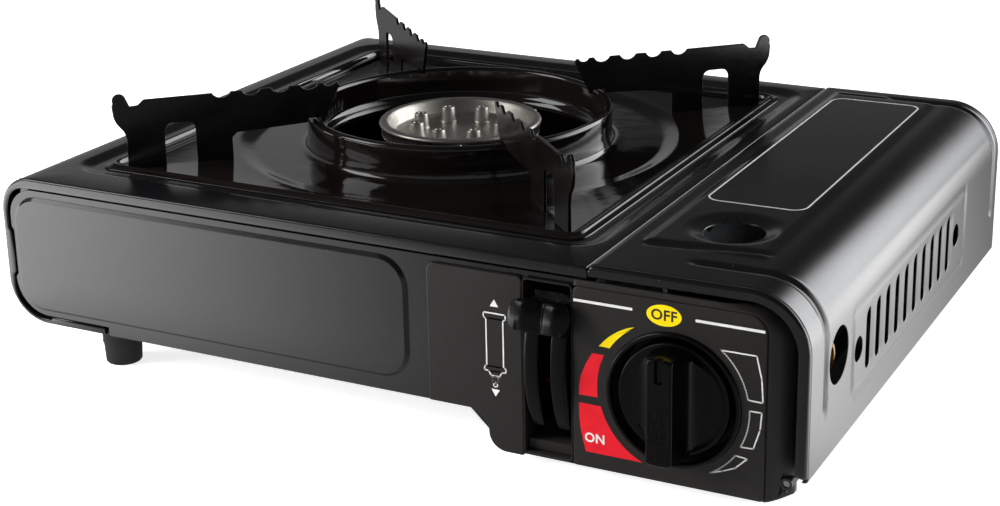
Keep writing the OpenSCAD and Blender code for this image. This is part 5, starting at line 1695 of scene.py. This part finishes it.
@dataclass
class Foot:
    """One rubber foot: a turned boss with a hollow sole and a rib round it."""

    name: str
    x: float
    y: float
    high: float
    radius: float = 8.6
    ribbed: float = 6.0  # a foot lower than this has no rib

    def build(self) -> None:
        """Turns the foot's profile about its own axis."""
        r, h = self.radius, self.high
        sole = [(4.2, min(1.2, h * 0.4)), (4.2, 0.3), (4.5, 0.0), (r - 2.4, 0.0),
                (r - 1.8, 0.25), (r - 1.3, 0.9)]
        rib = [(r - 0.9, h * 0.45), (r - 0.5, h * 0.5), (r - 0.6, h * 0.56),
               (r - 0.35, h - 3.2), (r - 0.05, h - 2.8)]
        top = [(r, h - 1.2), (r, h - 0.35), (r - 0.35, h), (2.0, h)]
        line = np.array(sole + rib * (h > self.ribbed) + top)
        put(self.name + "_rubber", moved(lathe(line, 64), (self.x, self.y, 0)), RUBBER,
            stands_for=(self.name,), sharp=50, closed=True)


# ------------------------------------------------------------------ studio


@dataclass
class Studio:
    """Pale floor, soft lamps, a plain surrounding and the camera.

    Angles are in degrees, place and lens in millimetres and floor_half in metres.
    """

    azimuth: float = 25.35
    elevation: float = 18.04
    roll: float = -0.34
    place: tuple[float, float, float] = (353.0, -686.1, 310.5)
    lens: float = 68.95
    shift: tuple[float, float] = (-0.0792, -0.0630)
    floor_half: float = 6.0

    def camera(self) -> None:
        """Camera whose right, up and back come from its azimuth, elevation and roll."""
        a, e, r = (math.radians(v) for v in (self.azimuth, self.elevation, self.roll))
        back = Vector((math.sin(a) * math.cos(e), -math.cos(a) * math.cos(e), math.sin(e)))
        level = Vector((math.cos(a), math.sin(a), 0))
        up = back.cross(level)
        right = level * math.cos(r) + up * math.sin(r)
        up = up * math.cos(r) - level * math.sin(r)
        data = bpy.data.cameras.new("camera")
        data.lens, data.sensor_width = self.lens, 36.0
        data.shift_x, data.shift_y = self.shift
        data.clip_start, data.clip_end = 0.01, 50
        eye = linked("camera", data)
        turn = Matrix((right, up, back)).transposed().to_4x4()
        eye.matrix_world = Matrix.Translation(Vector(self.place) * MM) @ turn
        bpy.context.scene.camera = eye

    def floor_glow(self, tree: bpy.types.NodeTree) -> bpy.types.NodeSocket:
        """How bright gloss mirrors the floor, by place in metres: a pale field at the right,
        stronger further back, and one at the front left. Between them it is dark.

        Args:
            tree: the floor's node tree.

        Returns:
            The strength.
        """
        here = add(tree, "SeparateXYZ", Vector=add(tree, "TexCoord").outputs["Object"])
        x, y = here.outputs["X"], here.outputs["Y"]
        right = add(tree, "Math", TIMES_PLUS, i0=y, i1=-0.37, i2=x).outputs[0]
        right = add(tree, "MapRange", SMOOTH, Value=right, From_Min=0.08, From_Max=0.24,
                    To_Max=4.3).outputs[0]
        far = add(tree, "MapRange", SMOOTH, Value=x, From_Min=0.04, From_Max=0.38).outputs[0]
        beside = add(tree, "MapRange", SMOOTH, Value=y, From_Min=-0.18,
                     From_Max=-0.04).outputs[0]
        far = add(tree, "Math", TIMES, i0=far, i1=beside).outputs[0]
        right = add(tree, "Math", TIMES_PLUS, i0=right, i1=far, i2=0.3).outputs[0]
        left = add(tree, "Math", TIMES_PLUS, i0=y, i1=-0.68, i2=x).outputs[0]
        left = add(tree, "MapRange", SMOOTH, Value=left, From_Min=0.2, From_Max=-0.26,
                   To_Max=5.4).outputs[0]
        out = add(tree, "MapRange", Value=x, From_Min=-0.2, From_Max=-0.27,
                  To_Max=0.1).outputs[0]
        front = add(tree, "Math", {"operation": "SUBTRACT"}, i0=y, i1=out).outputs[0]
        front = add(tree, "MapRange", Value=front, From_Min=-0.1, From_Max=-0.2).outputs[0]
        return add(tree, "Math", TIMES_PLUS, i0=left, i1=front, i2=right).outputs[0]

    def floor(self) -> None:
        """White floor: matt paint that keeps the stove's shadow, with a white glow added for
        the eye, and the glow of floor_glow() for gloss."""
        h = self.floor_half
        mesh = bpy.data.meshes.new("floor")
        mesh.from_pydata([(-h, -h, 0), (h, -h, 0), (h, h, 0), (-h, h, 0)], [], [(0, 1, 2, 3)])
        plane = linked("floor", mesh)
        material = bpy.data.materials.new("white_studio_floor")
        tree = blank(material)
        path = add(tree, "LightPath")
        mirrored = add(tree, "Math", {"operation": "MAXIMUM"}, i0=path.outputs["Is Glossy Ray"],
                       i1=path.outputs["Is Transmission Ray"]).outputs[0]
        matt = add(tree, "BsdfDiffuse", Color=linear("#f2f2f2")).outputs[0]
        seen = add(tree, "Emission", Color=(1, 1, 1, 1), Strength=0.8).outputs[0]
        seen = add(tree, "AddShader", i0=matt, i1=seen).outputs[0]
        seen = add(tree, "MixShader", i0=path.outputs["Is Camera Ray"], i1=matt,
                   i2=seen).outputs[0]
        glow = add(tree, "Emission", Color=(1, 1, 1, 1), Strength=self.floor_glow(tree)).outputs[0]
        mixed = add(tree, "MixShader", i0=mirrored, i1=seen, i2=glow).outputs[0]
        add(tree, "OutputMaterial", Surface=mixed)
        mesh.materials.append(material)

    def sky_glow(self, tree: bpy.types.NodeTree) -> bpy.types.NodeSocket:
        """How bright gloss mirrors the surroundings, by direction: dark overhead, a pale band
        at the horizon that sinks at the left, and a bright field behind at the right.

        Args:
            tree: the world's node tree.

        Returns:
            The strength.
        """
        way = add(tree, "SeparateXYZ", Vector=add(tree, "TexCoord").outputs["Generated"])
        x, y, z = (way.outputs[key] for key in "XYZ")
        left = add(tree, "MapRange", SMOOTH, Value=x, From_Min=-0.34, From_Max=-0.56,
                   To_Max=-0.14).outputs[0]
        lower = add(tree, "Math", {"operation": "ADD"}, i0=z, i1=left).outputs[0]
        band = add(tree, "MapRange", SMOOTH, Value=lower, From_Min=0.28, From_Max=0.16,
                   To_Min=0.05, To_Max=0.35).outputs[0]
        right = add(tree, "Math", TIMES_PLUS, i0=z, i1=0.5, i2=x).outputs[0]
        right = add(tree, "MapRange", SMOOTH, Value=right, From_Min=0.32, From_Max=0.52,
                    To_Max=5.4).outputs[0]
        high = add(tree, "MapRange", SMOOTH, Value=z, From_Min=0.8, From_Max=0.5).outputs[0]
        behind = add(tree, "MapRange", SMOOTH, Value=y, From_Min=0.1, From_Max=0.5).outputs[0]
        high = add(tree, "Math", TIMES, i0=high, i1=behind).outputs[0]
        return add(tree, "Math", TIMES_PLUS, i0=right, i1=high, i2=band).outputs[0]

    def world(self) -> None:
        """Surroundings: white for the eye, sky_glow() for gloss, and an even light besides."""
        world = bpy.data.worlds.new("studio")
        bpy.context.scene.world = world
        tree = blank(world)
        pale = (0.97, 0.98, 1.0, 1)
        path = add(tree, "LightPath")
        glow = add(tree, "Background", Color=pale, Strength=self.sky_glow(tree)).outputs[0]
        plain = add(tree, "Background", Color=pale, Strength=0.3).outputs[0]
        mixed = add(tree, "MixShader", i0=path.outputs["Is Glossy Ray"], i1=plain,
                    i2=glow).outputs[0]
        white = add(tree, "Background", Color=(1, 1, 1, 1), Strength=1.0).outputs[0]
        mixed = add(tree, "MixShader", i0=path.outputs["Is Camera Ray"], i1=mixed,
                    i2=white).outputs[0]
        add(tree, "OutputWorld", Surface=mixed)

    def lamp(self, name: str, at: tuple[float, float, float], aim: tuple[float, float, float],
             size: tuple[float, float], power: float, glossy: bool = False) -> None:
        """A soft box.

        Args:
            name: the lamp's name.
            at: its middle, in metres.
            aim: the point that it faces.
            size: its width and height in metres.
            power: its power in watts.
            glossy: gloss mirrors it.
        """
        data = bpy.data.lights.new(name, "AREA")
        data.shape, data.size, data.size_y, data.energy = "RECTANGLE", size[0], size[1], power
        box = linked(name, data)
        box.location = at
        box.rotation_euler = (Vector(aim) - Vector(at)).to_track_quat("-Z", "Y").to_euler()
        box.visible_glossy = glossy

    def build(self) -> None:
        """Sets the studio up."""
        self.camera()
        self.floor()
        self.world()
        self.lamp("key_box", (-1.5, -0.9, 1.2), (0.0, 0.0, 0.05), (1.0, 1.0), 14, glossy=True)
        self.lamp("left_box", (-0.85, -0.6, 0.4), (-0.4, -0.32, 0.0), (0.5, 0.5), 16)
        self.lamp("right_box", (1.3, 1.2, 0.6), (0.45, 0.3, 0.0), (1.2, 0.6), 16)
        bpy.context.scene.view_settings.view_transform = "Standard"


def dress_cad() -> None:
    """Gives every CAD node the finish of its own material slot."""
    by_node = {part["node"]: part["material_slot"] for part in frame["record"]["subparts"]}
    for name, piece in frame["nodes"].items():
        finish = SLOT_FINISH[by_node[name]]
        piece.data.materials.clear()
        piece.data.materials.append(finish.made())
        log.info("%s: carried over in %s", name, finish.name)


def main() -> None:
    """Builds the stove and its studio."""
    logging.basicConfig(level=logging.INFO, format="%(message)s")
    Studio().build()
    dress_cad()
    parts = [Cover(), Lid(), Panel(), Knob(), Lever(), Print(), DripPan(), Burner()]
    parts += [PotArm("pot_arm_" + corner, angle) for corner, angle in (
        ("front_left", 225), ("front_right", 315), ("back_right", 45), ("back_left", 135))]
    for side, x, high in (("left", P.left + FOOT_IN["left"], P.floor),
                          ("right", P.right - FOOT_IN["right"], P.bay_floor)):
        parts += [Foot("foot_front_" + side, x, P.front + FOOT_IN["ends"], high),
                  Foot("foot_back_" + side, x, P.back - FOOT_IN["ends"], high)]
    for part in parts:
        part.build()


if __name__ == "__main__":
    main()
